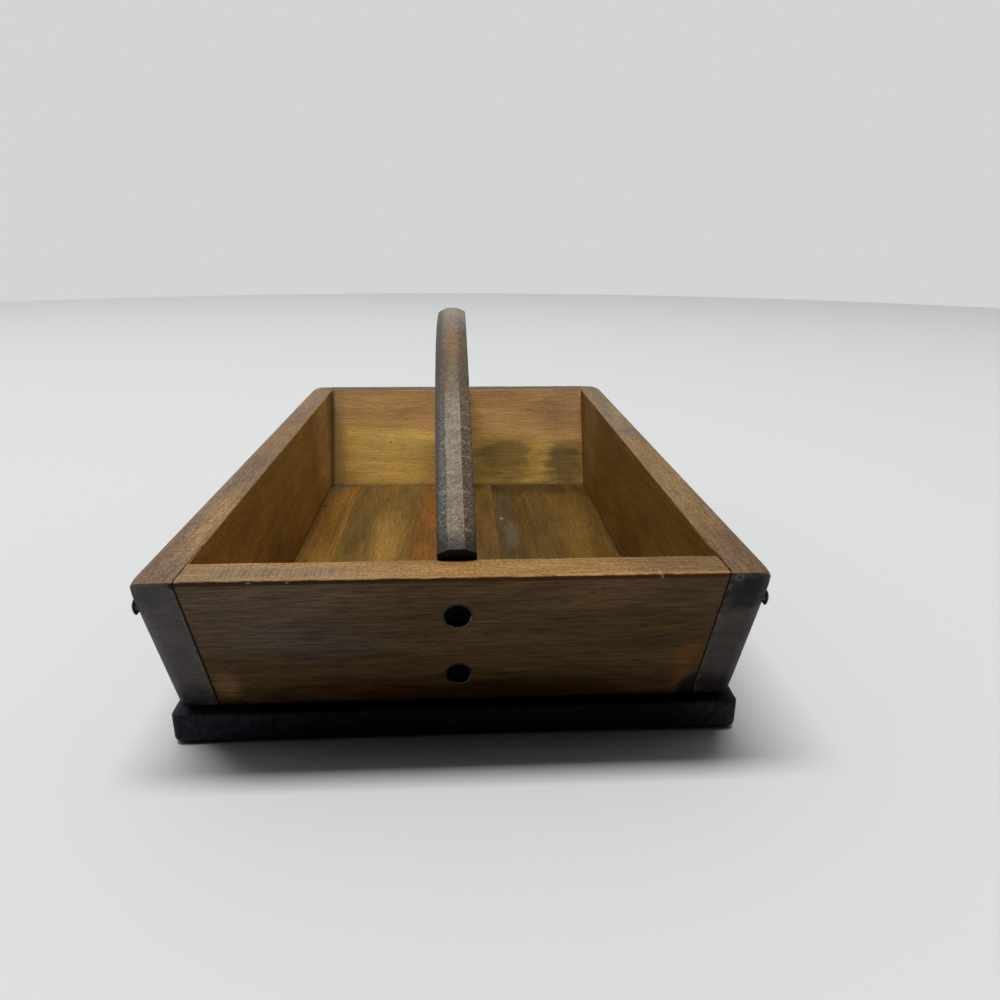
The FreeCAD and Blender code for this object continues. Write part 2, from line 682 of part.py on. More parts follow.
def fit_corner_screws():
    """Four round-head screws, one near the top of each corner."""
    for end, away in (("front", "-1"), ("back", "1")):
        for hand, side in (("left", "-1"), ("right", "1")):
            screw = make_screw(f"corner_screw_{end}_{hand}", "corner", round_head=True)
            along, height = corner_screw_place(hand)
            set_place(
                screw, ALONG_Y, f"{side} * {QUARTER_TURN}",
                f"{side} * {HALF_WIDTH}", f"{away} * {along}", height,
            )


def fit_base_screws():
    """Ten flat-head screws up through the slab: three into each side board, two into each end board."""
    places = {}
    for hand, side in (("left", "-"), ("right", "")):
        for name, along in zip(("front", "middle", "back"), SIDE_SCREW_PLACES):
            places[f"base_screw_{hand}_{name}"] = (f"{side}{SIDE_SCREW_ACROSS}", along)
    for end, side in (("front", "-"), ("back", "")):
        places[f"base_screw_{end}_inner"] = (MIDDLE_SCREW_ACROSS, f"{side}{END_SCREW_ALONG}")
        places[f"base_screw_{end}_outer"] = (RIGHT_SCREW_ACROSS, f"{side}{END_SCREW_ALONG}")
    for label, (across, along) in places.items():
        screw = make_screw(label, "base")
        set_place(screw, ALONG_X, str(HALF_TURN), across, along, "Sizes.base_screw_recess")


def make_base():
    """The slab, glued up from three boards of unequal width."""
    side_screws = [(SIDE_SCREW_ACROSS, along) for along in SIDE_SCREW_PLACES]
    end_places = (f"-{END_SCREW_ALONG}", END_SCREW_ALONG)
    make_base_board(
        "base_board_left", f"-{HALF_BASE_WIDTH}", f"{LEFT_JOINT} - {HALF_JOINT_GAP}",
        [(f"-{across}", along) for across, along in side_screws],
    )
    make_base_board(
        "base_board_middle", f"{LEFT_JOINT} + {HALF_JOINT_GAP}", f"{RIGHT_JOINT} - {HALF_JOINT_GAP}",
        [(MIDDLE_SCREW_ACROSS, along) for along in end_places],
    )
    make_base_board(
        "base_board_right", f"{RIGHT_JOINT} + {HALF_JOINT_GAP}", HALF_BASE_WIDTH,
        side_screws + [(RIGHT_SCREW_ACROSS, along) for along in end_places],
    )


def check_model():
    """Stops where an object failed, a part isn't one valid solid, or a cut took nothing away."""
    document.recompute()
    for thing in document.Objects:
        if "Invalid" in thing.State or "Error" in thing.State:
            raise RuntimeError(f"{thing.Label} failed: {thing.State}")
    for cut in cuts:
        before = cut.Base if cut.TypeId == "Part::Cut" else cut.BaseFeature
        if cut.Shape.Volume >= before.Shape.Volume:
            raise RuntimeError(f"{cut.Label} took nothing away")
    for part in parts:
        if part.Shape.isNull() or not part.Shape.isValid() or len(part.Shape.Solids) != 1:
            raise RuntimeError(f"{part.Label} isn't one valid solid")


def write_parts():
    """Writes each part's shape under its own name."""
    os.makedirs("parts", exist_ok=True)
    for part in parts:
        part.Shape.exportStep(os.path.join("parts", f"{part.Label}.step"))
        box = part.Shape.BoundBox
        print(f"{part.Label}: {box.XLength:.1f} x {box.YLength:.1f} x {box.ZLength:.1f} mm, "
              f"{part.Shape.Volume / 1000:.2f} cm3")


make_base()
make_side_board("side_board_left", str(HALF_TURN), "left")
make_side_board("side_board_right", "0", "right")
make_end_board("end_board_front", str(HALF_TURN), "-1")
make_end_board("end_board_back", "0", "1")
make_handle("carrying_handle")
fit_handle_screws()
fit_corner_screws()
fit_base_screws()
check_model()
write_parts()
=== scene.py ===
"""Looks for a worn wooden tool tote with an arched handle, on a pale floor in soft light."""

from __future__ import annotations

import logging
import math
from dataclasses import dataclass, field
from enum import Enum
from typing import ClassVar, Optional, Union

import bmesh
import bpy
from mathutils import Matrix, Vector, noise
from mathutils.kdtree import KDTree


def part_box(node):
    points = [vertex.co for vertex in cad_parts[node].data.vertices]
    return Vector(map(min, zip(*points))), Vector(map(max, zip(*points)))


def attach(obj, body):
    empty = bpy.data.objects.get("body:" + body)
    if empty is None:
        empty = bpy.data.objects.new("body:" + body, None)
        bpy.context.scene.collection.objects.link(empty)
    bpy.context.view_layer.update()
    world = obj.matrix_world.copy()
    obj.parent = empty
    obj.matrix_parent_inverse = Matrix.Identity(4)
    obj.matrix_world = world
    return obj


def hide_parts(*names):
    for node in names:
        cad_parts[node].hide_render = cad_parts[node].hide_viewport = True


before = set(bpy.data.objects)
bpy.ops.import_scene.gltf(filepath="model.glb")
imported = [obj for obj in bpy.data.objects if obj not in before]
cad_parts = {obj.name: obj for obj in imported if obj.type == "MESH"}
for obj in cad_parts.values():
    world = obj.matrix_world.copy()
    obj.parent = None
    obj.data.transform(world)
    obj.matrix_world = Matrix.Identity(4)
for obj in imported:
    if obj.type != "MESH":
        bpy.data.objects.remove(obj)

log = logging.getLogger("tote")

MM = 0.001
ROOT = "root"
LEAN = math.radians(23)
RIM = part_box("side_board_left")[1][2] / MM
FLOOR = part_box("base_board_left")[1][2] / MM
HALF_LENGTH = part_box("side_board_left")[1][1] / MM
HALF_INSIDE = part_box("side_board_right")[0][0] / MM
BOARD_JOINTS = (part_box("base_board_middle")[0][0] / MM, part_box("base_board_middle")[1][0] / MM)

Socket = bpy.types.NodeSocket
Colour = tuple[float, float, float]
Point = tuple[float, float, float]
Pair = tuple[float, float]
Number = Union[Socket, float]
Paint = Union[Socket, Colour]

# The ways that the sides of the boards face.
UP: Point = (0.0, 0.0, 1.0)
DOWN: Point = (0.0, 0.0, -1.0)
RIGHTWARD: Point = (1.0, 0.0, 0.0)
LEFTWARD: Point = (-1.0, 0.0, 0.0)
FRONT_OUTSIDE: Point = (0.0, -math.cos(LEAN), -math.sin(LEAN))
FRONT_INSIDE: Point = (0.0, math.cos(LEAN), math.sin(LEAN))
BACK_OUTSIDE: Point = (0.0, math.cos(LEAN), -math.sin(LEAN))
BACK_INSIDE: Point = (0.0, -math.cos(LEAN), math.sin(LEAN))

# Near black, for the dark of a seam, and for painted shade where no light reaches: faces hidden in joints
# and the handle's foot.
SEAM_AND_SHADE_BLACK: Colour = (0.004, 0.0035, 0.003)


class Along(Enum):
    """The axis along which a board's grain runs, with the two axes across it."""

    X = (0, 1, 2)
    Y = (1, 0, 2)


def place_object(name: str, data: bpy.types.ID) -> bpy.types.Object:
    """Puts new data in the scene.

    Args:
        name: The name of its object.
        data: The mesh, the light or the camera.

    Returns:
        The object.
    """
    item = bpy.data.objects.new(name, data)
    bpy.context.scene.collection.objects.link(item)
    return item


class Nodes:
    """Lays out the nodes of one tree."""

    def __init__(self, tree: bpy.types.NodeTree) -> None:
        """Empties the tree.

        Args:
            tree: The tree that the nodes are laid out in.
        """
        tree.nodes.clear()
        self.nodes = tree.nodes
        self.links = tree.links

    def plug(self, source: Union[Number, Paint], socket: Socket) -> None:
        """Feeds a socket from another one, or sets it.

        Args:
            source: The socket or the value.
            socket: The socket that is fed.
        """
        if isinstance(source, bpy.types.NodeSocket):
            self.links.new(source, socket)
        elif isinstance(source, tuple) and socket.type == "RGBA":
            socket.default_value = (*source, 1)
        else:
            socket.default_value = source

    def math(self, operation: str, *values: Number) -> Socket:
        """Works on numbers.

        Args:
            operation: The operation.
            values: What it works on.

        Returns:
            The result.
        """
        node = self.nodes.new("ShaderNodeMath")
        node.operation = operation
        for value, socket in zip(values, node.inputs):
            self.plug(value, socket)
        return node.outputs[0]

    def ramp(self, value: Socket, low: float, high: float, start: float = 0.0, end: float = 1.0) -> Socket:
        """Eases from one number to another while a value goes from low to high.

        Args:
            value: What drives it.
            low: The value where it starts.
            high: The value where it ends.
            start: The number before it.
            end: The number after it.

        Returns:
            The eased number.
        """
        node = self.nodes.new("ShaderNodeMapRange")
        node.interpolation_type = "SMOOTHSTEP"
        for item, socket in zip((value, low, high, start, end), node.inputs):
            self.plug(item, socket)
        return node.outputs["Result"]

    def all_of(self, *masks: Number) -> Socket:
        """Where all of the masks are.

        Args:
            masks: The masks.

        Returns:
            Their product.
        """
        product = masks[0]
        for mask in masks[1:]:
            product = self.math("MULTIPLY", product, mask)
        return product


class Bench(Nodes):
    """Lays out the nodes of one material. Lengths on it are in millimetres of the object."""

    def __init__(self, name: str) -> None:
        """Starts an empty material with one shader.

        Args:
            name: The material's name.
        """
        self.material = bpy.data.materials.new(name)
        self.material.use_nodes = True
        super().__init__(self.material.node_tree)
        self.shader = self.nodes.new("ShaderNodeBsdfPrincipled")
        output = self.nodes.new("ShaderNodeOutputMaterial")
        self.links.new(self.shader.outputs[0], output.inputs[0])
        place = self.nodes.new("ShaderNodeTexCoord").outputs["Object"]
        self.place = self.vector("SCALE", place, scale=1 / MM)
        split = self.nodes.new("ShaderNodeSeparateXYZ")
        self.links.new(self.place, split.inputs[0])
        self.axes = tuple(split.outputs)
        self.x, self.y, self.z = self.axes
        self.outward = self.nodes.new("ShaderNodeTexCoord").outputs["Normal"]

    def vector(self, operation: str, first: Socket, second: Union[Socket, Point, None] = None,
               scale: Optional[float] = None) -> Socket:
        """Works on vectors.

        Args:
            operation: The vector operation.
            first: The vector it starts from.
            second: The other vector, where it takes one.
            scale: The number that a scaling takes.

        Returns:
            The result.
        """
        node = self.nodes.new("ShaderNodeVectorMath")
        node.operation = operation
        self.plug(first, node.inputs[0])
        if second is not None:
            self.plug(second, node.inputs[1])
        if scale is not None:
            node.inputs["Scale"].default_value = scale
        return node.outputs["Value" if operation in ("LENGTH", "DOT_PRODUCT") else "Vector"]

    def facing(self, way: Point, low: float = 0.55, high: float = 0.85) -> Socket:
        """1 where the surface faces a direction, fading to 0 where it turns away from it.

        Args:
            way: The direction.
            low: The cosine at which it has faded.
            high: The cosine from which it is full.

        Returns:
            The mask.
        """
        return self.ramp(self.vector("DOT_PRODUCT", self.outward, way), low, high)

    def turned(self, about: str, angle: float) -> Socket:
        """The coordinates turned about an axis.

        Args:
            about: The axis, X, Y or Z.
            angle: The angle in degrees.

        Returns:
            The turned coordinates.
        """
        node = self.nodes.new("ShaderNodeMapping")
        node.inputs["Rotation"].default_value["XYZ".index(about)] = math.radians(angle)
        self.links.new(self.place, node.inputs["Vector"])
        return node.outputs[0]

    def band(self, value: Socket, low: float, high: float, soft: float) -> Socket:
        """1 between two values, fading to 0 outside them."""
        return self.math("MULTIPLY", self.ramp(value, low - soft, low + soft),
                         self.ramp(value, high - soft, high + soft, 1.0, 0.0))

    def spot(self, centre: Point, radii: Point, soft: float) -> Socket:
        """1 inside an egg shape, fading to 0 outside it.

        Args:
            centre: Its middle.
            radii: Its three half lengths.
            soft: The share of its radius over which it fades.

        Returns:
            The mask.
        """
        scaled = self.vector("DIVIDE", self.vector("SUBTRACT", self.place, centre), radii)
        return self.ramp(self.vector("LENGTH", scaled), 1 - soft, 1 + soft, 1.0, 0.0)

    def noise(self, size: Point, detail: float = 3.0, rough: float = 0.5, seed: float = 0.0,
              place: Optional[Socket] = None) -> Socket:
        """Cloudy noise from 0 to 1.

        Args:
            size: The length of its clouds along each axis.
            detail: How many finer layers it has.
            rough: How strong the finer layers are.
            seed: Which part of the noise is used.
            place: The coordinates it is laid out in.

        Returns:
            The noise.
        """
        scaled = self.vector("DIVIDE", place or self.place, size)
        moved = self.vector("ADD", scaled, (seed * 7.31, seed * 3.17, seed * 5.53))
        node = self.nodes.new("ShaderNodeTexNoise")
        node.inputs["Scale"].default_value = 1.0
        node.inputs["Detail"].default_value = detail
        node.inputs["Roughness"].default_value = rough
        self.links.new(moved, node.inputs["Vector"])
        return node.outputs["Fac"]

    def swing(self, value: Socket, amount: float) -> Socket:
        """Turns noise, which lies mostly between 0.3 and 0.7, into a factor round 1."""
        return self.ramp(value, 0.3, 0.7, 1 - amount, 1 + amount)

    def blend(self, factor: Number, first: Paint, second: Paint) -> Socket:
        """Blends two colours.

        Args:
            factor: How much of the second shows.
            first: The colour underneath.
            second: The colour on top.

        Returns:
            The colour.
        """
        node = self.nodes.new("ShaderNodeMix")
        node.data_type = "RGBA"
        node.clamp_factor = True
        self.plug(factor, node.inputs["Factor"])
        self.plug(first, node.inputs[6])
        self.plug(second, node.inputs[7])
        return node.outputs[2]

    def coat(self, under: Paint, colour: Paint, *masks: Number) -> Socket:
        """Lays a colour over another one, where all of the masks are."""
        return self.blend(self.all_of(*masks), under, colour)

    def tone(self, colour: Paint, factor: Socket) -> Socket:
        """Makes a colour lighter or darker by a factor."""
        return self.vector("MULTIPLY", colour, self.grey(factor))

    def grey(self, value: Socket) -> Socket:
        """The same number in all three channels.

        Args:
            value: The number.

        Returns:
            The grey.
        """
        node = self.nodes.new("ShaderNodeCombineXYZ")
        for socket in node.inputs:
            self.links.new(value, socket)
        return node.outputs[0]

    def attribute(self, name: str) -> Socket:
        """A number stored on the mesh.

        Args:
            name: Its name.

        Returns:
            The number.
        """
        node = self.nodes.new("ShaderNodeAttribute")
        node.attribute_name = name
        return node.outputs["Fac"]

    def bump(self, height: Socket, depth: float, below: Optional[Socket] = None) -> Socket:
        """Raises the surface by a height.

        Args:
            height: The height, from 0 to 1.
            depth: What 1 stands for.
            below: The normal that it adds to.

        Returns:
            The normal.
        """
        node = self.nodes.new("ShaderNodeBump")
        node.inputs["Strength"].default_value = 1.0
        node.inputs["Distance"].default_value = depth * MM
        self.links.new(height, node.inputs["Height"])
        if below is not None:
            self.links.new(below, node.inputs["Normal"])
        return node.outputs[0]

    def finish(self, colour: Socket, rough: Number, normal: Socket, gloss: float) -> bpy.types.Material:
        """Feeds the shader.

        Args:
            colour: The surface's colour.
            rough: Its roughness.
            normal: Its normal.
            gloss: Its specular level.

        Returns:
            The material.
        """
        self.plug(colour, self.shader.inputs["Base Color"])
        self.plug(rough, self.shader.inputs["Roughness"])
        self.plug(normal, self.shader.inputs["Normal"])
        self.shader.inputs["Specular IOR Level"].default_value = gloss
        return self.material


@dataclass(frozen=True)
class Figure:
    """The marks that grain leaves on a board, each from 0 to 1."""

    rings: Socket
    fibres: Socket
    pores: Socket
    cloud: Socket
    streaks: Socket
    speckle: Socket


@dataclass(frozen=True)
class Grain:
    """How a board was cut from its log. Lengths are in millimetres.

    Attributes:
        along: The axis that the grain runs along.
        heart: Where the log's heart lies, on the two axes across the grain.
        ring: The width of a year's ring.
        wander: How far the rings wander.
        figure: The length over which they wander.
        seed: Which log it came from.
    """

    along: Along
    heart: Pair
    ring: float = 3.0
    wander: float = 3.0
    figure: float = 90.0
    seed: float = 0.0

    def stretch(self, length: float, width: float) -> Point:
        """Sizes along the three axes for a cloud that is long on the grain.

        Args:
            length: The size on the grain.
            width: The size across it.

        Returns:
            The three sizes.
        """
        sizes = [width, width, width]
        sizes[self.along.value[0]] = length
        return tuple(sizes)

    def read(self, bench: Bench) -> Figure:
        """Lays out the marks of the grain.

        Args:
            bench: The material that they are laid out on.

        Returns:
            The marks.
        """
        return Figure(
            rings=self._rings(bench),
            fibres=bench.noise(self.stretch(20.0, 0.8), 4.0, 0.62, self.seed + 5),
            pores=bench.ramp(bench.noise(self.stretch(7.5, 0.5), 1.0, 0.5, self.seed + 8), 0.57, 0.68),
            cloud=bench.noise(self.stretch(70.0, 15.0), 4.0, 0.55, self.seed + 11),
            streaks=bench.noise(self.stretch(190.0, 3.0), 6.0, 0.7, self.seed + 13),
            speckle=bench.noise((1.1, 1.1, 1.1), 2.0, 0.6, self.seed + 17))

    def _rings(self, bench: Bench) -> Socket:
        """The rings' profile, from 0 in the early wood to 1 in the late wood.

        Args:
            bench: The material that it is laid out on.

        Returns:
            The profile.
        """
        away = []
        for index, (axis, heart) in enumerate(zip(self.along.value[1:], self.heart)):
            drift = bench.noise(self.stretch(self.figure, self.figure / 3), 2.0, 0.45, self.seed + index)
            drift = bench.math("MULTIPLY_ADD", drift, 2 * self.wander, -self.wander - heart)
            away.append(bench.math("ADD", bench.axes[axis], drift))
        squares = [bench.math("MULTIPLY", item, item) for item in away]
        distance = bench.math("SQRT", bench.math("ADD", *squares))
        jitter = bench.noise(self.stretch(14.0, 1.6), 3.0, 0.6, self.seed + 3)
        distance = bench.math("MULTIPLY_ADD", jitter, self.ring * 0.7, distance)
        phase = bench.math("FRACT", bench.math("DIVIDE", distance, self.ring))
        return bench.math("MULTIPLY", bench.ramp(phase, 0.1, 0.8), bench.ramp(phase, 0.82, 1.0, 1.0, 0.0))


@dataclass(frozen=True)
class WoodTone:
    """The colours of wood, and how strongly each mark of its grain shows.

    Attributes:
        light: The colour of the early wood.
        dark: The colour of the late wood.
        ring: How strongly the year's rings show.
        streak: How strongly the long streaks show.
        fibre: How much the fibres change the tone.
        cloud: How much the tone drifts along the board.
        pore: How much darker the pores are.
        speckle: How much the finest specks change the tone.
    """

    light: Colour
    dark: Colour
    ring: float = 0.3
    streak: float = 0.6
    fibre: float = 0.3
    cloud: float = 0.2
    pore: float = 0.25
    speckle: float = 0.12

    def paint(self, bench: Bench, figure: Figure) -> Socket:
        """The wood's colour, with its rings and streaks.

        Args:
            bench: The material that it is laid out on.
            figure: The marks of the grain.

        Returns:
            The colour.
        """
        rings = bench.math("MULTIPLY", figure.rings, self.ring)
        streaks = bench.math("MULTIPLY", bench.ramp(figure.streaks, 0.36, 0.64), self.streak)
        return bench.blend(bench.math("MAXIMUM", rings, streaks), self.light, self.dark)

    def mark(self, bench: Bench, figure: Figure, colour: Socket) -> Socket:
        """Adds the fibres, pores and specks to a colour.

        Args:
            bench: The material that it is laid out on.
            figure: The marks of the grain.
            colour: The colour underneath.

        Returns:
            The marked colour.
        """
        factor = bench.math("MULTIPLY_ADD", figure.pores, -self.pore, 1.0)
        marks = ((figure.fibres, self.fibre), (figure.cloud, self.cloud), (figure.speckle, self.speckle))
        for mark, amount in marks:
            factor = bench.math("MULTIPLY", factor, bench.swing(mark, amount))
        return bench.tone(colour, factor)


@dataclass(frozen=True)
class Stain:
    """A patch of another colour.

    Attributes:
        colour: Its colour.
        centre: Its middle, in millimetres.
        radii: Its half lengths, in millimetres.
        amount: How strongly it shows.
        soft: The share of its radius over which it fades.
        ragged: How far its edge wanders, as a share of its radius.
        grit: The size of the tears in its edge, in millimetres.
    """

    colour: Colour
    centre: Point
    radii: Point
    amount: float = 0.6
    soft: float = 0.5
    ragged: float = 1.4
    grit: float = 5.0

    RIM_DEPTH: ClassVar[float] = 9.0
    FLOOR_DEPTH: ClassVar[float] = 5.0

    @classmethod
    def on_rim(cls, colour: Colour, middle: Pair, half: Pair, *rest: float) -> Stain:
        """A patch on the rim."""
        return cls(colour, (*middle, RIM), (*half, cls.RIM_DEPTH), *rest)

    @classmethod
    def on_floor(cls, colour: Colour, middle: Pair, half: Pair, *rest: float) -> Stain:
        """A patch on the tray's floor."""
        return cls(colour, (*middle, FLOOR), (*half, cls.FLOOR_DEPTH), *rest)

    def lay(self, bench: Bench, grain: Grain, under: Socket, seed: float) -> Socket:
        """Lays the patch over a colour.

        Args:
            bench: The material that it is laid out on.
            grain: The grain that its ragged edge follows.
            under: The colour underneath.
            seed: Which ragged edge it has.

        Returns:
            The colour with the patch.
        """
        away = bench.vector("DIVIDE", bench.vector("SUBTRACT", bench.place, self.centre), self.radii)
        tear = bench.noise(grain.stretch(self.grit * 4, self.grit), 4.0, 0.6, seed)
        reach = bench.math("MULTIPLY_ADD", tear, self.ragged, bench.vector("LENGTH", away))
        reach = bench.math("SUBTRACT", reach, self.ragged / 2)
        mask = bench.ramp(reach, 1 - self.soft, 1 + self.soft, self.amount, 0.0)
        return bench.blend(mask, under, bench.tone(self.colour, bench.swing(tear, 0.12)))


@dataclass(frozen=True)
class Face:
    """One side of a board, with its own tone and its own patches.

    Attributes:
        out: The way that it faces.
        tone: Its wood.
        stains: Its patches, the lowest one first.
        low: The cosine to that way at which it has faded out.
        high: The cosine from which it is full.
    """

    out: Point
    tone: WoodTone
    stains: tuple[Stain, ...] = ()
    low: float = 0.55
    high: float = 0.85

    def paint(self, bench: Bench, grain: Grain, figure: Figure, seed: float) -> Socket:
        """The side's colour.

        Args:
            bench: The material that it is laid out on.
            grain: The grain that the ragged edges follow.
            figure: The marks of the grain.
            seed: Which ragged edges its patches have.

        Returns:
            The colour.
        """
        colour = self.tone.paint(bench, figure)
        for index, stain in enumerate(self.stains):
            colour = stain.lay(bench, grain, colour, seed + index * 1.7)
        return self.tone.mark(bench, figure, colour)


@dataclass(frozen=True)
class BoardFinish:
    """The finish of one board.

    Attributes:
        name: The material's name.
        grain: How the board was cut.
        faces: Its sides. The first one also covers what the others leave.
        worn: The colour of its worn edges.
        wear: How strongly they show.
        rough: Its roughness.
        gloss: Its specular level.
        relief: The depth of its fibres, in millimetres.
    """

    name: str
    grain: Grain
    faces: tuple[Face, ...]
    worn: Colour = (0.30, 0.18, 0.08)
    wear: float = 0.35
    rough: float = 0.5
    gloss: float = 0.2
    relief: float = 0.14

    def build(self) -> bpy.types.Material:
        """Builds the material.

        Returns:
            The material.
        """
        bench = Bench(self.name)
        figure = self.grain.read(bench)
        seed = self.grain.seed
        colour = self.faces[0].paint(bench, self.grain, figure, seed + 20)
        for index, face in enumerate(self.faces[1:]):
            side = face.paint(bench, self.grain, figure, seed + 30 + index * 9)
            colour = bench.blend(bench.facing(face.out, face.low, face.high), colour, side)
        colour = self.dress(bench, figure, colour)
        patch = bench.noise((13.0, 13.0, 13.0), 3.0, 0.6, seed + 2)
        rough = bench.math("MULTIPLY_ADD", patch, 0.4, self.rough - 0.2)
        rough = bench.math("MULTIPLY_ADD", figure.fibres, 0.12, rough)
        relief = bench.math("SUBTRACT", figure.fibres, bench.math("MULTIPLY", figure.pores, 0.5))
        normal = bench.bump(relief, self.relief)
        normal = bench.bump(bench.noise((2.2, 2.2, 2.2), 3.0, 0.6, seed + 4), 0.08, normal)
        return bench.finish(colour, rough, normal, self.gloss)

    def dress(self, bench: Bench, figure: Figure, colour: Socket) -> Socket:
        """Wears the edges.

        Args:
            bench: The material that it is laid out on.
            figure: The marks of the grain. It is not used.
            colour: The colour underneath.

        Returns:
            The colour with the wear.
        """
        arris = bench.ramp(bench.attribute("arris"), 0.35, 1.0)
        ragged = bench.ramp(bench.noise((4.0, 4.0, 4.0), 4.0, 0.65, self.grain.seed + 6), 0.38, 0.62)
        return bench.coat(colour, self.worn, arris, ragged, self.wear)


@dataclass(frozen=True)
class FrontBoardFinish(BoardFinish):
    """The finish of the front end board: a worn upper arris with a painted highlight, chips, saw marks and
    two deep screw bores.

    Attributes:
        drops: How far the bores lie below the rim, in millimetres.
        fall: How far they fall on their way in, in degrees.
        bore: Their radius, in millimetres.
    """

    drops: Pair = (20.0, 53.5)
    fall: float = 16.0
    bore: float = 4.8

    def dress(self, bench: Bench, figure: Figure, colour: Socket) -> Socket:
        """Adds the marks of use, with painted shade on the hidden ends and inside the bores, and a painted
        highlight on the upper arris.

        Args:
            bench: The material that it is laid out on.
            figure: The marks of the grain. It is not used.
            colour: The colour underneath.

        Returns:
            The colour with the marks.
        """
        # Painted shade: black on the end faces, which lie hidden in the joints with the side boards.
        for way in (LEFTWARD, RIGHTWARD):
            colour = bench.coat(colour, SEAM_AND_SHADE_BLACK, bench.facing(way))
        colour = self._saw(bench, colour)
        colour = self._arris(bench, colour)
        for drop in self.drops:
            colour = self._bore(bench, colour, drop)
        return colour

    def _saw(self, bench: Bench, colour: Socket) -> Socket:
        """Grey saw marks across the left half of the rim.

        Args:
            bench: The material that it is laid out on.
            colour: The colour underneath.

        Returns:
            The colour with the saw marks.
        """
        lines = bench.ramp(bench.noise((0.6, 20.0, 20.0), 1.0, 0.5, 61.0), 0.44, 0.56)
        patch = bench.ramp(bench.noise((16.0, 12.0, 12.0), 3.0, 0.6, 62.0), 0.34, 0.50)
        rim = bench.all_of(bench.facing(UP, 0.85, 0.97), bench.ramp(bench.x, -20.0, -52.0),
                           bench.band(bench.y, 3.0 - HALF_LENGTH, 10.5 - HALF_LENGTH, 1.5), patch)
        colour = bench.coat(colour, (0.20, 0.16, 0.12), rim, 0.5)
        return bench.coat(colour, (0.090, 0.066, 0.046), rim, lines, 0.5)

    def _arris(self, bench: Bench, colour: Socket) -> Socket:
        """A painted highlight along the front arris, golden at the right, over a dark band and chips.

        Args:
            bench: The material that it is laid out on.
            colour: The colour underneath.

        Returns:
            The colour with the arris.
        """
        ragged = bench.noise((9.0, 2.0, 2.0), 4.0, 0.6, 77.0)
        drop = bench.math("MULTIPLY_ADD", ragged, 0.7, bench.z)
        ahead = bench.ramp(bench.y, 2.2 - HALF_LENGTH, 1.6 - HALF_LENGTH)
        right = bench.ramp(bench.x, -40.0, 5.0)
        gold = bench.all_of(bench.facing(UP, 0.85, 0.97), right,
                            bench.ramp(bench.math("MULTIPLY_ADD", ragged, 2.4, bench.y), 3.6 - HALF_LENGTH,
                                       2.4 - HALF_LENGTH))
        colour = bench.coat(colour, (0.30, 0.13, 0.026), gold, 0.6)
        under = bench.all_of(ahead, bench.ramp(drop, RIM - 2.3, RIM - 1.2),
                             bench.ramp(drop, RIM + 0.3, RIM - 0.1))
        shade = bench.blend(right, (0.030, 0.012, 0.0035), (0.050, 0.018, 0.0030))
        colour = bench.coat(colour, shade, under, 0.85)
        # Painted highlight: a thin bright line along the top of the front arris, golden at the right.
        line = bench.all_of(ahead, bench.ramp(bench.z, RIM - 0.5, RIM - 0.32),
                            bench.ramp(bench.z, RIM - 0.02, RIM - 0.1), bench.ramp(ragged, 0.40, 0.58))
        light = bench.blend(right, (0.26, 0.165, 0.095), (0.40, 0.235, 0.095))
        colour = bench.coat(colour, light, line, 0.75)
        chips = (((-73.1, -0.6, -0.9), (1.0, 0.9, 0.4)), ((-59.7, -0.6, -0.9), (0.7, 0.9, 0.4)),
                 ((73.3, -1.4, -0.3), (0.4, 1.7, 0.7)), ((74.1, -0.3, -1.2), (0.4, 0.9, 0.8)))
        for (across, along, up), radii in chips:
            chip = bench.spot((across, -HALF_LENGTH - along, RIM + up), radii, 0.6)
            colour = bench.coat(colour, (0.40, 0.31, 0.20), chip, 0.6)
        return colour

    def _bore(self, bench: Bench, colour: Socket, drop: float) -> Socket:
        """A bore: blackened round its mouth, painted black inside as shade, with a painted highlight on its
        lower lip.

        Args:
            bench: The material that it is laid out on.
            colour: The colour underneath.
            drop: How far the bore lies below the rim.

        Returns:
            The colour with the bore.
        """
        fall = math.radians(self.fall)
        mouth = (0.0, drop * math.tan(LEAN) - HALF_LENGTH, RIM - drop)
        above = (0.0, math.sin(fall), math.cos(fall))
        away = bench.vector("SUBTRACT", bench.place, mouth)
        rise = bench.vector("DOT_PRODUCT", away, above)
        squares = (bench.math("MULTIPLY", bench.x, bench.x), bench.math("MULTIPLY", rise, rise))
        radius = bench.math("SQRT", bench.math("ADD", *squares))
        rim = bench.ramp(radius, self.bore + 0.3, self.bore + 1.2, 1.0, 0.0)
        colour = bench.coat(colour, (0.012, 0.009, 0.007), rim, 0.9)
        # Painted shade: black inside the bore.
        inside = bench.ramp(radius, self.bore + 0.1, self.bore + 0.3, 1.0, 0.0)
        colour = bench.blend(inside, colour, (0.003, 0.003, 0.003))
        # Painted highlight: a light crescent on the lower lip, standing in for the bore's lit lower wall.
        low = bench.ramp(bench.math("MULTIPLY_ADD", bench.x, -0.45, rise), -1.6, -3.2)
        lip = bench.all_of(bench.band(radius, self.bore - 0.15, self.bore + 0.45, 0.15), low, 0.8)
        return bench.blend(lip, colour, (0.16, 0.155, 0.14))


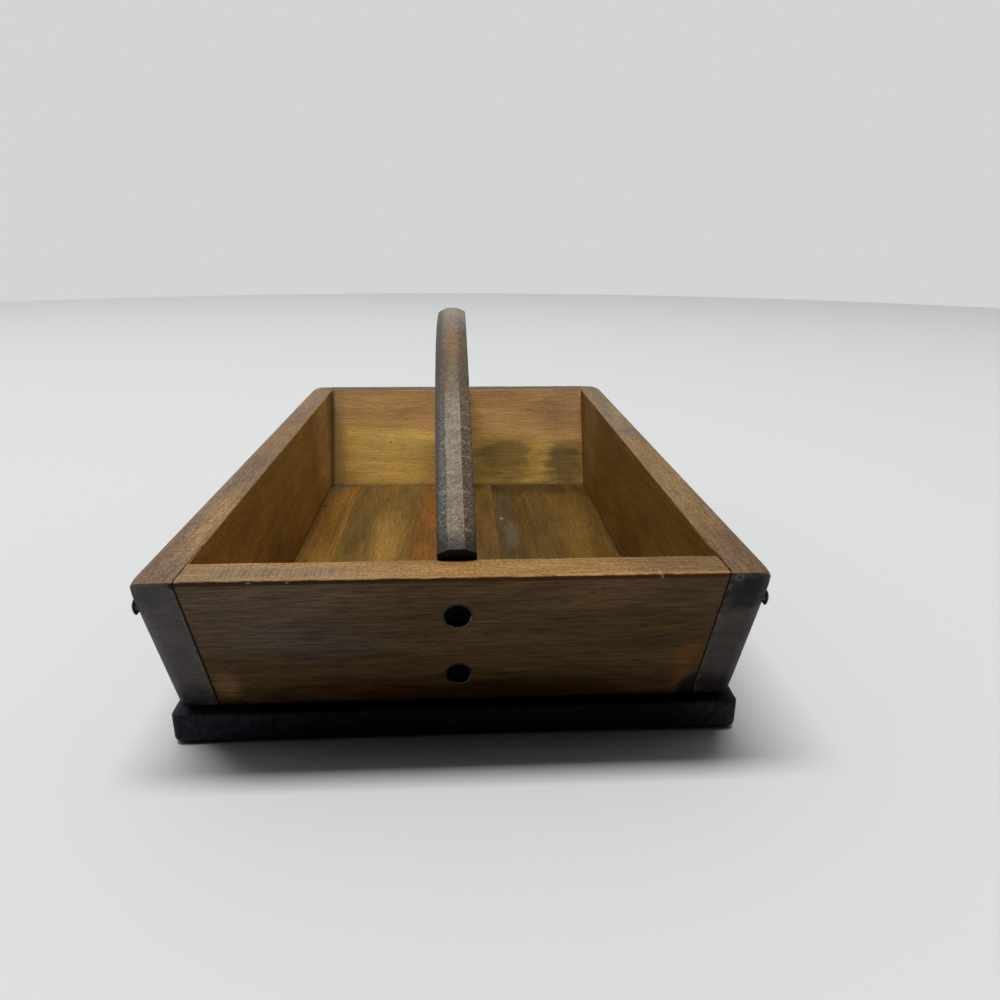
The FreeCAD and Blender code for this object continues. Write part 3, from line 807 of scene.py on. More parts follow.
@dataclass(frozen=True)
class BackBoardFinish(BoardFinish):
    """The finish of the back end board, whose inner side carries a band of old varnish."""

    def dress(self, bench: Bench, figure: Figure, colour: Socket) -> Socket:
        """Lays the upper band over the inner side.

        Args:
            bench: The material that it is laid out on.
            figure: The marks of the grain.
            colour: The colour underneath.

        Returns:
            The colour with the band, its margins, painted shade in the left corner and along the foot, and
            the worn edges.
        """
        inner = bench.facing(BACK_INSIDE)
        edge = bench.math("MULTIPLY_ADD", bench.noise((14.0, 40.0, 5.0), 3.0, 0.5, 41.0), 4.0, -2.0)
        height = bench.math("ADD", bench.math("MULTIPLY_ADD", bench.x, 0.063, bench.z), edge)
        upper = bench.all_of(bench.ramp(height, 51.9, 55.2), inner)
        tone = WoodTone((0.60, 0.330, 0.120), (0.50, 0.262, 0.092), 0.15, 0.4, 0.14, 0.18, 0.15, 0.12)
        top = tone.paint(bench, figure)
        stains = (Stain((0.39, 0.225, 0.108), (80.0, 165.0, 74.0), (20.0, 20.0, 14.0), 0.75),
                  Stain((0.50, 0.270, 0.092), (-50.0, 165.0, 62.0), (30.0, 20.0, 6.0), 0.5))
        for index, stain in enumerate(stains):
            top = stain.lay(bench, self.grain, top, 43.0 + index)
        colour = bench.coat(colour, tone.mark(bench, figure, top), upper, 0.92)
        feather = bench.all_of(bench.band(height, 51.2, 53.6, 1.2), inner, bench.ramp(bench.x, 5.0, 40.0))
        colour = bench.coat(colour, (0.52, 0.33, 0.11), feather, 0.45)
        speck = bench.spot((-52.8, 151.6, 46.5), (0.9, 0.9, 0.9), 0.5)
        colour = bench.coat(colour, (0.12, 0.06, 0.02), speck, 0.7)
        tear = bench.math("MULTIPLY", bench.noise((9.0, 20.0, 14.0), 4.0, 0.6, 46.0), 16.0)
        margin = bench.all_of(bench.ramp(bench.math("ADD", bench.x, tear), -76.0, -86.0), inner)
        colour = bench.coat(colour, (0.32, 0.20, 0.080), margin, 0.6)
        # Painted shade: darker in the left inner corner and along the foot of the inner side.
        corner = bench.all_of(bench.ramp(bench.x, -95.5, -98.0), inner)
        colour = bench.coat(colour, (0.09, 0.055, 0.025), corner, 0.7)
        foot = bench.all_of(bench.ramp(bench.z, 17.5, 14.8), inner)
        colour = bench.coat(colour, (0.12, 0.075, 0.03), foot, 0.6)
        return super().dress(bench, figure, colour)


@dataclass(frozen=True)
class BaseBoardFinish(BoardFinish):
    """The finish of a base board: clear inside the tray, ebonised outside it."""

    inside: Pair = (HALF_INSIDE, 139.5)
    black: Colour = (0.0024, 0.0038, 0.0046)

    def dress(self, bench: Bench, figure: Figure, colour: Socket) -> Socket:
        """Blackens what lies outside the tray.

        Args:
            bench: The material that it is laid out on.
            figure: The marks of the grain.
            colour: The colour underneath.

        Returns:
            The colour with the black, its painted sheen, and painted shade along the walls.
        """
        width, length = self.inside
        tray = bench.all_of(bench.facing(UP), bench.band(bench.x, -width, width, 0.6),
                            bench.band(bench.y, -length, length, 0.8))
        outside = bench.math("SUBTRACT", 1.0, tray)
        stroke = bench.noise(self.grain.stretch(30.0, 3.0), 4.0, 0.6, self.grain.seed + 7)
        # Painted sheen on the black: bluish grey towards the left end, grey towards the right end.
        left_sheen = bench.ramp(bench.x, -50.0, -112.0)
        paint = bench.blend(left_sheen, self.black, (0.026, 0.028, 0.039))
        paint = bench.blend(bench.ramp(bench.x, 85.0, 116.0), paint, (0.030, 0.031, 0.038))
        paint = bench.tone(paint, bench.swing(stroke, 0.5))
        below = bench.facing(DOWN)
        paint = bench.coat(paint, (0.055, 0.037, 0.022), below, bench.ramp(figure.cloud, 0.42, 0.6), 0.7)
        arris = bench.ramp(bench.attribute("arris"), 0.5, 1.0)
        rub = bench.ramp(bench.noise((5.0, 5.0, 5.0), 4.0, 0.65, self.grain.seed + 9), 0.56, 0.68)
        paint = bench.coat(paint, (0.030, 0.022, 0.016), arris, rub, 0.4)
        colour = bench.blend(outside, colour, paint)
        # Painted shade: the floor of the tray is darker along its walls, broken up by noise.
        wall_shade_noise = bench.noise((3.5, 3.5, 3.5), 5.0, 0.7, self.grain.seed + 15)
        near_wall = bench.math("MAXIMUM", bench.ramp(bench.math("ABSOLUTE", bench.x), width - 4.0, width),
                               bench.ramp(bench.math("ABSOLUTE", bench.y), length - 5.0, length - 0.5))
        wall_shade = bench.all_of(tray, near_wall, bench.ramp(wall_shade_noise, 0.3, 0.6))
        return bench.coat(colour, (0.07, 0.042, 0.016), wall_shade, 0.6)


@dataclass
class WornPiece:
    """A wooden piece with the wear of use on its edges, in the place of its plain solid.

    Attributes:
        node: The solid's name.
        slot: The record's material slot. It is not used.
        cuts: The axis along which it is cut into short lengths, so that its edges can vary.
        step: The length of a cut, in millimetres.
        wear: How far the edges are worn back, in millimetres.
        reach: How far from an edge its wear goes, in millimetres.
        crisp: The angle from which an edge is shaded as a sharp one, in degrees.
        round_above: The height above which every edge is shaded as a round one.
        joints: Places across the tote where it meets its neighbour, and where nothing wears.
        joints_from: How far from the tote's middle, along it, those joints begin.
        corners: Corners that are knocked soft.
        seed: Which wear it has.
    """

    node: str
    slot: str
    cuts: Along
    step: float = 2.4
    wear: float = 0.35
    reach: float = 2.6
    crisp: float = 32.0
    round_above: float = 1000.0
    joints: tuple[float, ...] = ()
    joints_from: float = 0.0
    corners: tuple[Point, ...] = ()
    seed: float = 0.0
    edges: KDTree = field(default_factory=lambda: KDTree(0))

    ARRIS_TURN: ClassVar[float] = 7.0
    CORNER_REACH: ClassVar[float] = 9.0
    CORNER_DEPTH: ClassVar[float] = 1.7
    JOINT_WIDTH: ClassVar[float] = 0.5
    LONG_WAVE: ClassVar[float] = 23.0
    SHORT_WAVE: ClassVar[float] = 5.5
    CHIP_SIZE: ClassVar[float] = 2.7

    def build(self, finish: bpy.types.Material) -> bpy.types.Object:
        """Builds the worn piece.

        Args:
            finish: Its material.

        Returns:
            The piece's object.
        """
        shape = bmesh.new()
        shape.from_mesh(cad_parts[self.node].data)
        bmesh.ops.remove_doubles(shape, verts=shape.verts[:], dist=0.00001)
        self._find_edges(shape)
        self._cut(shape)
        self._wear(shape)
        for face in shape.faces:
            face.smooth = True
        crisp = math.radians(self.crisp)
        for edge in shape.edges:
            high = max(vertex.co.z for vertex in edge.verts) > self.round_above * MM
            edge.smooth = high or len(edge.link_faces) != 2 or edge.calc_face_angle(0.0) < crisp
        mesh = bpy.data.meshes.new(f"{self.node}_worn")
        shape.to_mesh(mesh)
        shape.free()
        arris = mesh.attributes.new("arris", "FLOAT", "POINT")
        arris.data.foreach_set("value", [self._nearness(vertex.co) for vertex in mesh.vertices])
        mesh.materials.append(finish)
        piece = place_object(f"{self.node}_worn", mesh)
        weighted = piece.modifiers.new("even_normals", "WEIGHTED_NORMAL")
        weighted.keep_sharp = True
        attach(piece, ROOT)
        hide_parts(self.node)
        log.info("%s: %d faces", piece.name, len(mesh.polygons))
        return piece

    def _find_edges(self, shape: bmesh.types.BMesh) -> None:
        """Finds the arrises: the places where the surface turns sharply within a few millimetres.

        Args:
            shape: The piece's shape.
        """
        shape.normal_update()
        points = []
        for edge in shape.edges:
            turn = edge.calc_face_angle(0.0)
            if len(edge.link_faces) != 2 or turn < math.radians(self.ARRIS_TURN) or self._is_joint(edge):
                continue
            count = max(1, int(edge.calc_length() / MM))
            first, second = (vertex.co for vertex in edge.verts)
            points += [first.lerp(second, index / count) for index in range(count + 1)]
        self.edges = KDTree(len(points))
        for index, point in enumerate(points):
            self.edges.insert(point, index)
        self.edges.balance()

    def _is_joint(self, edge: bmesh.types.BMEdge) -> bool:
        """Whether an edge lies against the neighbouring piece.

        Args:
            edge: The edge.

        Returns:
            Whether it does.
        """
        if any(abs(vertex.co.y) < self.joints_from * MM for vertex in edge.verts):
            return False
        places = [vertex.co.x / MM for vertex in edge.verts]
        return any(all(abs(place - joint) < self.JOINT_WIDTH for place in places) for joint in self.joints)

    def _cut(self, shape: bmesh.types.BMesh) -> None:
        """Cuts the piece into short lengths, without parting it.

        Args:
            shape: The piece's shape.
        """
        low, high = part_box(self.node)
        axis = self.cuts.value[0]
        normal = Vector((0, 0, 0))
        normal[axis] = 1
        count = int((high[axis] - low[axis]) / (self.step * MM))
        for index in range(1, count):
            place = Vector((0, 0, 0))
            place[axis] = low[axis] + (high[axis] - low[axis]) * index / count
            everything = shape.verts[:] + shape.edges[:] + shape.faces[:]
            bmesh.ops.bisect_plane(shape, geom=everything, plane_co=place, plane_no=normal, dist=0.000001)

    def _nearness(self, point: Vector) -> float:
        """How near a point is to an arris, from 0 far away to 1 on it."""
        away = self.edges.find(point)[2]
        return 0.0 if away is None else max(0.0, 1.0 - away / (self.reach * MM))

    def _wear(self, shape: bmesh.types.BMesh) -> None:
        """Pushes the edges in, here a little and there more, and knocks the corners soft.

        Args:
            shape: The piece's shape.
        """
        shape.normal_update()
        moves = []
        for vertex in shape.verts:
            near = self._nearness(vertex.co)
            spot = vertex.co / MM
            long_wave = noise.noise(spot / self.LONG_WAVE + Vector((self.seed, 0, 0)))
            short_wave = noise.noise(spot / self.SHORT_WAVE + Vector((0, self.seed, 3)))
            chip = max(0.0, noise.noise(spot / self.CHIP_SIZE + Vector((9, self.seed, 0))) - 0.35) * 1.6
            depth = max(0.0, 0.35 + 0.35 * long_wave + 0.3 * short_wave + chip) * near * self.wear
            for corner in self.corners:
                soft = max(0.0, 1.0 - (spot - Vector(corner)).length / self.CORNER_REACH)
                depth += self.CORNER_DEPTH * soft * soft * (3 - 2 * soft)
            moves.append(-vertex.normal * (depth * MM))
        for vertex, move in zip(shape.verts, moves):
            vertex.co += move


@dataclass(frozen=True)
class SideBoardFinish(BoardFinish):
    """The finish of a side board: saw lines across its ends, painted shade down its inner corners."""

    side: float = 1.0

    def dress(self, bench: Bench, figure: Figure, colour: Socket) -> Socket:
        """Adds the saw lines, painted shade in the inner corners and in the joints, the joint with the front
        board and a nick.

        Args:
            bench: The material that it is laid out on.
            figure: The marks of the grain.
            colour: The colour underneath.

        Returns:
            The colour with the marks.
        """
        front = bench.facing(FRONT_OUTSIDE)
        ends = bench.math("MAXIMUM", front, bench.facing(BACK_OUTSIDE))
        saw = bench.noise((16.0, 16.0, 0.75), 3.0, 0.6, 51.0 + self.side)
        darker = bench.math("MULTIPLY_ADD", bench.ramp(saw, 0.5, 0.64), -0.2, 1.0)
        colour = bench.blend(ends, colour, bench.tone(colour, darker))
        colour = super().dress(bench, figure, colour)
        inner = bench.facing((-self.side, 0.0, 0.0))
        # Painted shade: darker down the foot and towards the far end of the inner side, in the corners.
        far = bench.ramp(bench.y, 132.0, 146.0, 0.0, 0.5)
        foot = bench.math("MAXIMUM", bench.ramp(bench.z, 18.5, 14.6), far)
        colour = bench.coat(colour, (0.060, 0.034, 0.013), foot, inner, 0.5)
        # Painted shade: black on the part of the inner side that lies hidden in the joint with the end
        # board.
        foot_length = HALF_LENGTH - RIM * math.tan(LEAN)
        along = bench.math("ABSOLUTE", bench.y)
        reach = bench.math("MULTIPLY_ADD", bench.z, -math.tan(LEAN), along)
        hidden = bench.all_of(bench.ramp(reach, foot_length - 4.0, foot_length - 3.0), inner)
        colour = bench.blend(hidden, colour, SEAM_AND_SHADE_BLACK)
        joint = bench.math("MULTIPLY", bench.x, self.side)
        if self.side > 0:
            seam = bench.all_of(bench.ramp(joint, HALF_INSIDE + 0.7, HALF_INSIDE + 0.3), front, 0.5)
            away = bench.vector("LENGTH", bench.vector("SUBTRACT", bench.place, (102.6, -183.0, RIM - 2.3)))
            ring = bench.band(away, 1.1, 1.7, 0.25)
            colour = bench.coat(colour, (0.13, 0.12, 0.11), ring, 0.7)
        else:
            seam = bench.all_of(bench.ramp(joint, HALF_INSIDE + 0.95, HALF_INSIDE + 0.55), front, 0.95)
            # Painted shade: a black gap at the top of the joint with the front board.
            gap = bench.spot((-99.6, -183.0, RIM - 2.0), (1.4, 1.6, 1.5), 0.2)
            colour = bench.blend(gap, colour, (0.003, 0.003, 0.003))
        return bench.blend(seam, colour, SEAM_AND_SHADE_BLACK)


@dataclass
class Tray:
    """The side boards, the end boards and the base boards. Its sizes are in millimetres.

    Attributes:
        corner: The rim's outer corners, across and along from the tray's middle.
        corner_drop: How far under the rim they are knocked softest.
        joints_from: How far along from the middle the joints of side and end boards begin.
        side_wear: How far the side boards' edges are worn back.
        base_wear: How far the base boards' edges are worn back.
        base_step: The length of the cuts along the base boards.
    """

    corner: Pair = (117.0, 183.5)
    corner_drop: float = 1.0
    joints_from: float = 132.0
    side_wear: float = 0.25
    base_wear: float = 0.4
    base_step: float = 3.2

    def build(self) -> None:
        """Builds and dresses the boards."""
        ends = (-HALF_INSIDE, HALF_INSIDE)
        across, along = self.corner
        for hand, out in (("left", -1.0), ("right", 1.0)):
            corners = tuple((out * across, end * along, RIM - self.corner_drop) for end in (-1, 1))
            board = WornPiece(f"side_board_{hand}", "board_wood", Along.Y, wear=self.side_wear, joints=ends,
                              joints_from=self.joints_from, corners=corners, seed=3.0 + out)
            board.build(self._side(hand, out))
        WornPiece("end_board_front", "board_wood", Along.X, joints=ends, seed=5.0).build(self._front())
        WornPiece("end_board_back", "board_wood", Along.X, joints=ends, seed=9.0).build(self._back())
        for name in ("left", "middle", "right"):
            board = WornPiece(f"base_board_{name}", "base_wood", Along.Y, self.base_step, self.base_wear,
                              joints=BOARD_JOINTS, seed=3.0 + len(name))
            board.build(self._base(name))

    def _side(self, hand: str, out: float) -> bpy.types.Material:
        """The finish of a side board.

        Args:
            hand: Left or right.
            out: The way out of the tray, -1 or 1.

        Returns:
            The material.
        """
        outer = Face((out, 0.0, 0.0), WoodTone((0.125, 0.074, 0.036), (0.058, 0.032, 0.015), 0.4, 0.7), (
            Stain((0.042, 0.025, 0.012), (out * 117, -10.0, 17.0), (14.0, 190.0, 13.0), 0.75),
            Stain((0.15, 0.085, 0.036), (out * 117, 60.0, 55.0), (14.0, 60.0, 18.0), 0.5),
            Stain((0.065, 0.042, 0.025), (out * 117, -95.0, 60.0), (14.0, 50.0, 16.0), 0.5)))
        inner, front, rim = self._left_faces() if hand == "left" else self._right_faces()
        back = Face(BACK_OUTSIDE, front.tone)
        grain = Grain(Along.Y, (out * 114.0, -25.0), 2.8, 4.0, 120.0, 2.0 + out)
        return SideBoardFinish(f"side_board_{hand}_wood", grain, (outer, inner, front, back, rim),
                               worn=(0.23, 0.145, 0.07), wear=0.35, gloss=0.13, side=out).build()

    def _left_faces(self) -> tuple[Face, Face, Face]:
        """The inner side, the front end and the rim of the left side board.

        Returns:
            The three faces.
        """
        inner_tone = WoodTone((0.385, 0.198, 0.037), (0.285, 0.144, 0.025), 0.2, 0.5, 0.2, 0.16, 0.2, 0.16)
        inner = Face(RIGHTWARD, inner_tone, (
            Stain((0.60, 0.37, 0.135), (-99.0, 125.0, 56.0), (9.0, 30.0, 40.0), 0.75),
            Stain((0.150, 0.078, 0.012), (-99.0, -60.0, 26.0), (9.0, 70.0, 16.0), 0.75),
            Stain((0.29, 0.140, 0.025), (-99.0, -120.0, 60.0), (9.0, 62.0, 34.0), 0.7)))
        end_tone = WoodTone((0.088, 0.075, 0.073), (0.064, 0.054, 0.052), 0.2, 0.5, 0.1, 0.12, 0.2, 0.14)
        front = Face(FRONT_OUTSIDE, end_tone, (
            Stain((0.024, 0.023, 0.023), (-103.0, -157.0, 16.0), (16.0, 12.0, 11.0), 0.8),
            Stain((0.055, 0.050, 0.053), (-107.0, -183.0, 80.0), (14.0, 10.0, 7.0), 0.7),
            Stain((0.115, 0.098, 0.090), (-101.5, -169.0, 48.0), (2.0, 8.0, 7.0), 0.35)))
        rim_tone = WoodTone((0.200, 0.119, 0.063), (0.155, 0.088, 0.045), 0.15, 0.4, 0.22, 0.14, 0.2, 0.34)
        rim = Face(UP, rim_tone, (
            Stain.on_rim((0.135, 0.100, 0.076), (-108.6, -130.0), (5.0, 17.0), 0.65),
            Stain.on_rim((0.135, 0.100, 0.074), (-108.0, -45.0), (4.0, 34.0), 0.6),
            Stain.on_rim((0.27, 0.155, 0.062), (-104.0, -125.0), (4.5, 40.0), 0.7),
            Stain.on_rim((0.165, 0.105, 0.076), (-108.0, -172.0), (14.0, 14.0), 0.7),
            Stain.on_rim((0.20, 0.138, 0.082), (-107.0, 120.0), (10.0, 55.0), 0.6)))
        return inner, front, rim

    def _right_faces(self) -> tuple[Face, Face, Face]:
        """The inner side, the front end and the rim of the right side board.

        Returns:
            The three faces.
        """
        inner_tone = WoodTone((0.19, 0.090, 0.0145), (0.135, 0.065, 0.010), 0.2, 0.6, 0.2, 0.16, 0.2, 0.16)
        inner = Face(LEFTWARD, inner_tone, (
            Stain((0.26, 0.142, 0.045), (99.0, 125.0, 56.0), (9.0, 30.0, 40.0), 0.75),
            Stain((0.12, 0.058, 0.008), (99.0, -60.0, 26.0), (9.0, 70.0, 16.0), 0.75),
            Stain((0.185, 0.09, 0.012), (99.0, -120.0, 60.0), (9.0, 62.0, 34.0), 0.7)))
        end_tone = WoodTone((0.060, 0.048, 0.044), (0.042, 0.034, 0.031), 0.2, 0.5, 0.1, 0.14, 0.2, 0.14)
        front = Face(FRONT_OUTSIDE, end_tone, (
            Stain((0.0070, 0.0068, 0.0066), (108.0, -181.0, 77.0), (16.0, 12.0, 13.5), 0.97, 0.3, 0.8),
            Stain((0.014, 0.011, 0.010), (103.0, -158.0, 16.0), (16.0, 12.0, 12.0), 0.85),
            Stain((0.085, 0.070, 0.062), (104.0, -174.0, 59.0), (5.0, 8.0, 6.0), 0.4)))
        rim_tone = WoodTone((0.212, 0.129, 0.054), (0.164, 0.097, 0.038), 0.15, 0.4, 0.2, 0.14, 0.2, 0.34)
        rim = Face(UP, rim_tone, (
            Stain.on_rim((0.124, 0.073, 0.036), (108.0, -168.0), (14.0, 30.0), 0.85),
            Stain.on_rim((0.190, 0.142, 0.084), (108.0, 110.0), (12.0, 75.0), 0.75),
            Stain.on_rim((0.150, 0.120, 0.094), (106.0, 27.0), (12.0, 10.0), 0.8),
            Stain.on_rim((0.075, 0.055, 0.038), (104.3, 28.7), (3.4, 1.5), 0.85),
            Stain.on_rim((0.13, 0.075, 0.03), (109.6, -60.5), (3.0, 5.0), 0.4),
            Stain.on_rim((0.14, 0.045, 0.016), (99.8, -160.0), (1.3, 16.0), 0.7)))
        return inner, front, rim

    def _front(self) -> bpy.types.Material:
        """The finish of the front end board.

        Returns:
            The material.
        """
        outer_tone = WoodTone((0.100, 0.057, 0.0215), (0.052, 0.028, 0.0098), 0.3, 0.45, 0.3, 0.18, 0.4, 0.1)
        outer = Face(FRONT_OUTSIDE, outer_tone, (
            Stain((0.118, 0.082, 0.056), (-72.0, -181.0, 73.0), (38.0, 24.0, 16.0), 0.8),
            Stain((0.105, 0.063, 0.030), (20.0, -181.0, 78.0), (95.0, 24.0, 10.0), 0.7),
            Stain((0.082, 0.060, 0.044), (-62.0, -172.0, 52.0), (36.0, 22.0, 11.0), 0.75),
            Stain((0.028, 0.0100, 0.0008), (5.0, -156.0, 17.0), (84.0, 22.0, 13.0), 0.93, 0.6),
            Stain((0.150, 0.085, 0.038), (-93.0, -161.0, 28.0), (5.0, 22.0, 9.0), 0.8),
            Stain((0.140, 0.060, 0.016), (92.5, -164.0, 37.0), (4.5, 22.0, 14.0), 0.75),
            Stain((0.010, 0.008, 0.007), (99.5, -157.0, 19.0), (7.5, 22.0, 9.0), 0.95, 0.2, 0.5),
            Stain((0.048, 0.033, 0.019), (80.0, -168.0, 50.0), (15.0, 22.0, 3.0), 0.6),
            Stain((0.052, 0.034, 0.018), (38.0, -172.0, 58.0), (22.0, 22.0, 3.2), 0.5),
            Stain((0.054, 0.036, 0.019), (-52.0, -168.0, 44.0), (26.0, 22.0, 3.4), 0.5)))
        inner = Face(FRONT_INSIDE, WoodTone((0.30, 0.165, 0.045), (0.20, 0.10, 0.026)), (
            Stain((0.17, 0.11, 0.04), (30.0, -150.0, 41.0), (40.0, 22.0, 20.0), 0.5),))
        rim_tone = WoodTone((0.288, 0.162, 0.063), (0.228, 0.122, 0.044), 0.15, 0.4, 0.18, 0.14, 0.2, 0.34)
        rim = Face(UP, rim_tone, (
            Stain.on_rim((0.262, 0.140, 0.044), (28.0, -176.0), (46.0, 14.0), 0.75),
            Stain.on_rim((0.142, 0.083, 0.040), (88.0, -176.0), (26.0, 14.0), 0.85),
            Stain.on_rim((0.22, 0.15, 0.085), (-86.0, -177.0), (20.0, 8.0), 0.5)), 0.7, 0.9)
        grain = Grain(Along.X, (-230.0, -60.0), 3.6, 7.0, 130.0, 8.0)
        faces = (outer, inner, rim)
        return FrontBoardFinish("end_board_front_wood", grain, faces, rough=0.55, gloss=0.07).build()

    def _back(self) -> bpy.types.Material:
        """The finish of the back end board.

        Returns:
            The material.
        """
        outer = Face(BACK_OUTSIDE, WoodTone((0.118, 0.07, 0.034), (0.058, 0.032, 0.015), 0.3, 0.7), (
            Stain((0.045, 0.023, 0.008), (0.0, 156.0, 18.0), (96.0, 22.0, 13.0), 0.75),))
        inner_tone = WoodTone((0.64, 0.385, 0.094), (0.54, 0.310, 0.070), 0.2, 0.4, 0.14, 0.18, 0.15, 0.12)
        inner = Face(BACK_INSIDE, inner_tone, (
            Stain((0.80, 0.51, 0.140), (-40.0, 151.0, 46.0), (34.0, 18.0, 9.0), 0.75),
            Stain((0.155, 0.096, 0.030), (38.0, 147.0, 34.0), (24.0, 18.0, 17.0), 0.80, 0.5, 1.3, 4.0),
            Stain((0.118, 0.073, 0.025), (85.0, 145.0, 30.0), (16.0, 18.0, 19.0), 0.84, 0.5, 1.3, 4.0),
            Stain((0.50, 0.28, 0.062), (61.0, 146.0, 31.0), (4.5, 18.0, 16.0), 0.7, 0.5, 0.8, 9.0),
            Stain((0.42, 0.23, 0.055), (-20.0, 146.0, 31.0), (14.0, 18.0, 14.0), 0.5)))
        rim_tone = WoodTone((0.125, 0.085, 0.052), (0.085, 0.055, 0.030), 0.15, 0.4, 0.2, 0.14, 0.2, 0.3)
        rim = Face(UP, rim_tone)
        grain = Grain(Along.X, (230.0, -40.0), 3.6, 7.0, 130.0, 14.0)
        return BackBoardFinish("end_board_back_wood", grain, (outer, inner, rim), wear=0.15).build()

    def _base(self, name: str) -> bpy.types.Material:
        """The finish of a base board.

        Args:
            name: Left, middle or right.

        Returns:
            The material.
        """
        if name == "left":
            tone = WoodTone((0.25, 0.120, 0.0215), (0.150, 0.072, 0.0125), 0.25, 0.6, 0.2, 0.2, 0.2, 0.12)
            stains = (
                Stain.on_floor((0.115, 0.100, 0.085), (-92.0, 134.0), (8.0, 6.0), 0.65, 0.5, 0.9, 3.0),
                Stain.on_floor((0.05, 0.03, 0.015), (-96.0, 92.0), (1.2, 2.2), 0.9))
            grain = Grain(Along.Y, (-190.0, -60.0), 3.0, 4.0, 110.0, 17.0)
        elif name == "middle":
            tone = WoodTone((0.186, 0.101, 0.0225), (0.113, 0.059, 0.0122), 0.25, 0.65, 0.2, 0.2, 0.2, 0.12)
            stains = (
                Stain.on_floor((0.100, 0.058, 0.014), (-68.0, 60.0), (8.0, 90.0), 0.85),
                Stain.on_floor((0.105, 0.065, 0.019), (-34.0, 100.0), (16.0, 34.0), 0.6),
                Stain.on_floor((0.27, 0.150, 0.032), (-46.0, 30.0), (10.0, 70.0), 0.5),
                Stain.on_floor((0.205, 0.078, 0.0136), (-15.0, 20.0), (15.0, 150.0), 0.8, 0.3, 0.6),
                Stain.on_floor((0.105, 0.054, 0.0145), (16.0, 20.0), (10.0, 150.0), 0.75, 0.3, 0.6))
            grain = Grain(Along.Y, (-46.0, -34.0), 5.0, 6.0, 120.0, 19.0)
        else:
            tone = WoodTone((0.121, 0.064, 0.0140), (0.076, 0.040, 0.0093), 0.25, 0.6, 0.2, 0.2, 0.2, 0.12)
            stains = (
                Stain.on_floor((0.070, 0.047, 0.021), (31.0, 60.0), (7.0, 100.0), 0.85),
                Stain.on_floor((0.136, 0.071, 0.0125), (82.0, 20.0), (16.0, 110.0), 0.6),
                Stain.on_floor((0.050, 0.027, 0.0066), (62.0, 128.0), (40.0, 14.0), 0.75),
                Stain.on_floor((0.24, 0.21, 0.15), (29.8, 62.0), (1.3, 2.4), 0.7, 0.5, 0.9, 2.0),
                Stain.on_floor((0.15, 0.12, 0.08), (35.0, 34.0), (4.0, 18.0), 0.3, 0.6, 2.4, 2.0))
            grain = Grain(Along.Y, (150.0, -50.0), 3.4, 5.0, 110.0, 23.0)
        faces = (Face(UP, tone, stains),)
        return BaseBoardFinish(f"base_board_{name}_wood", grain, faces, rough=0.45, gloss=0.07).build()


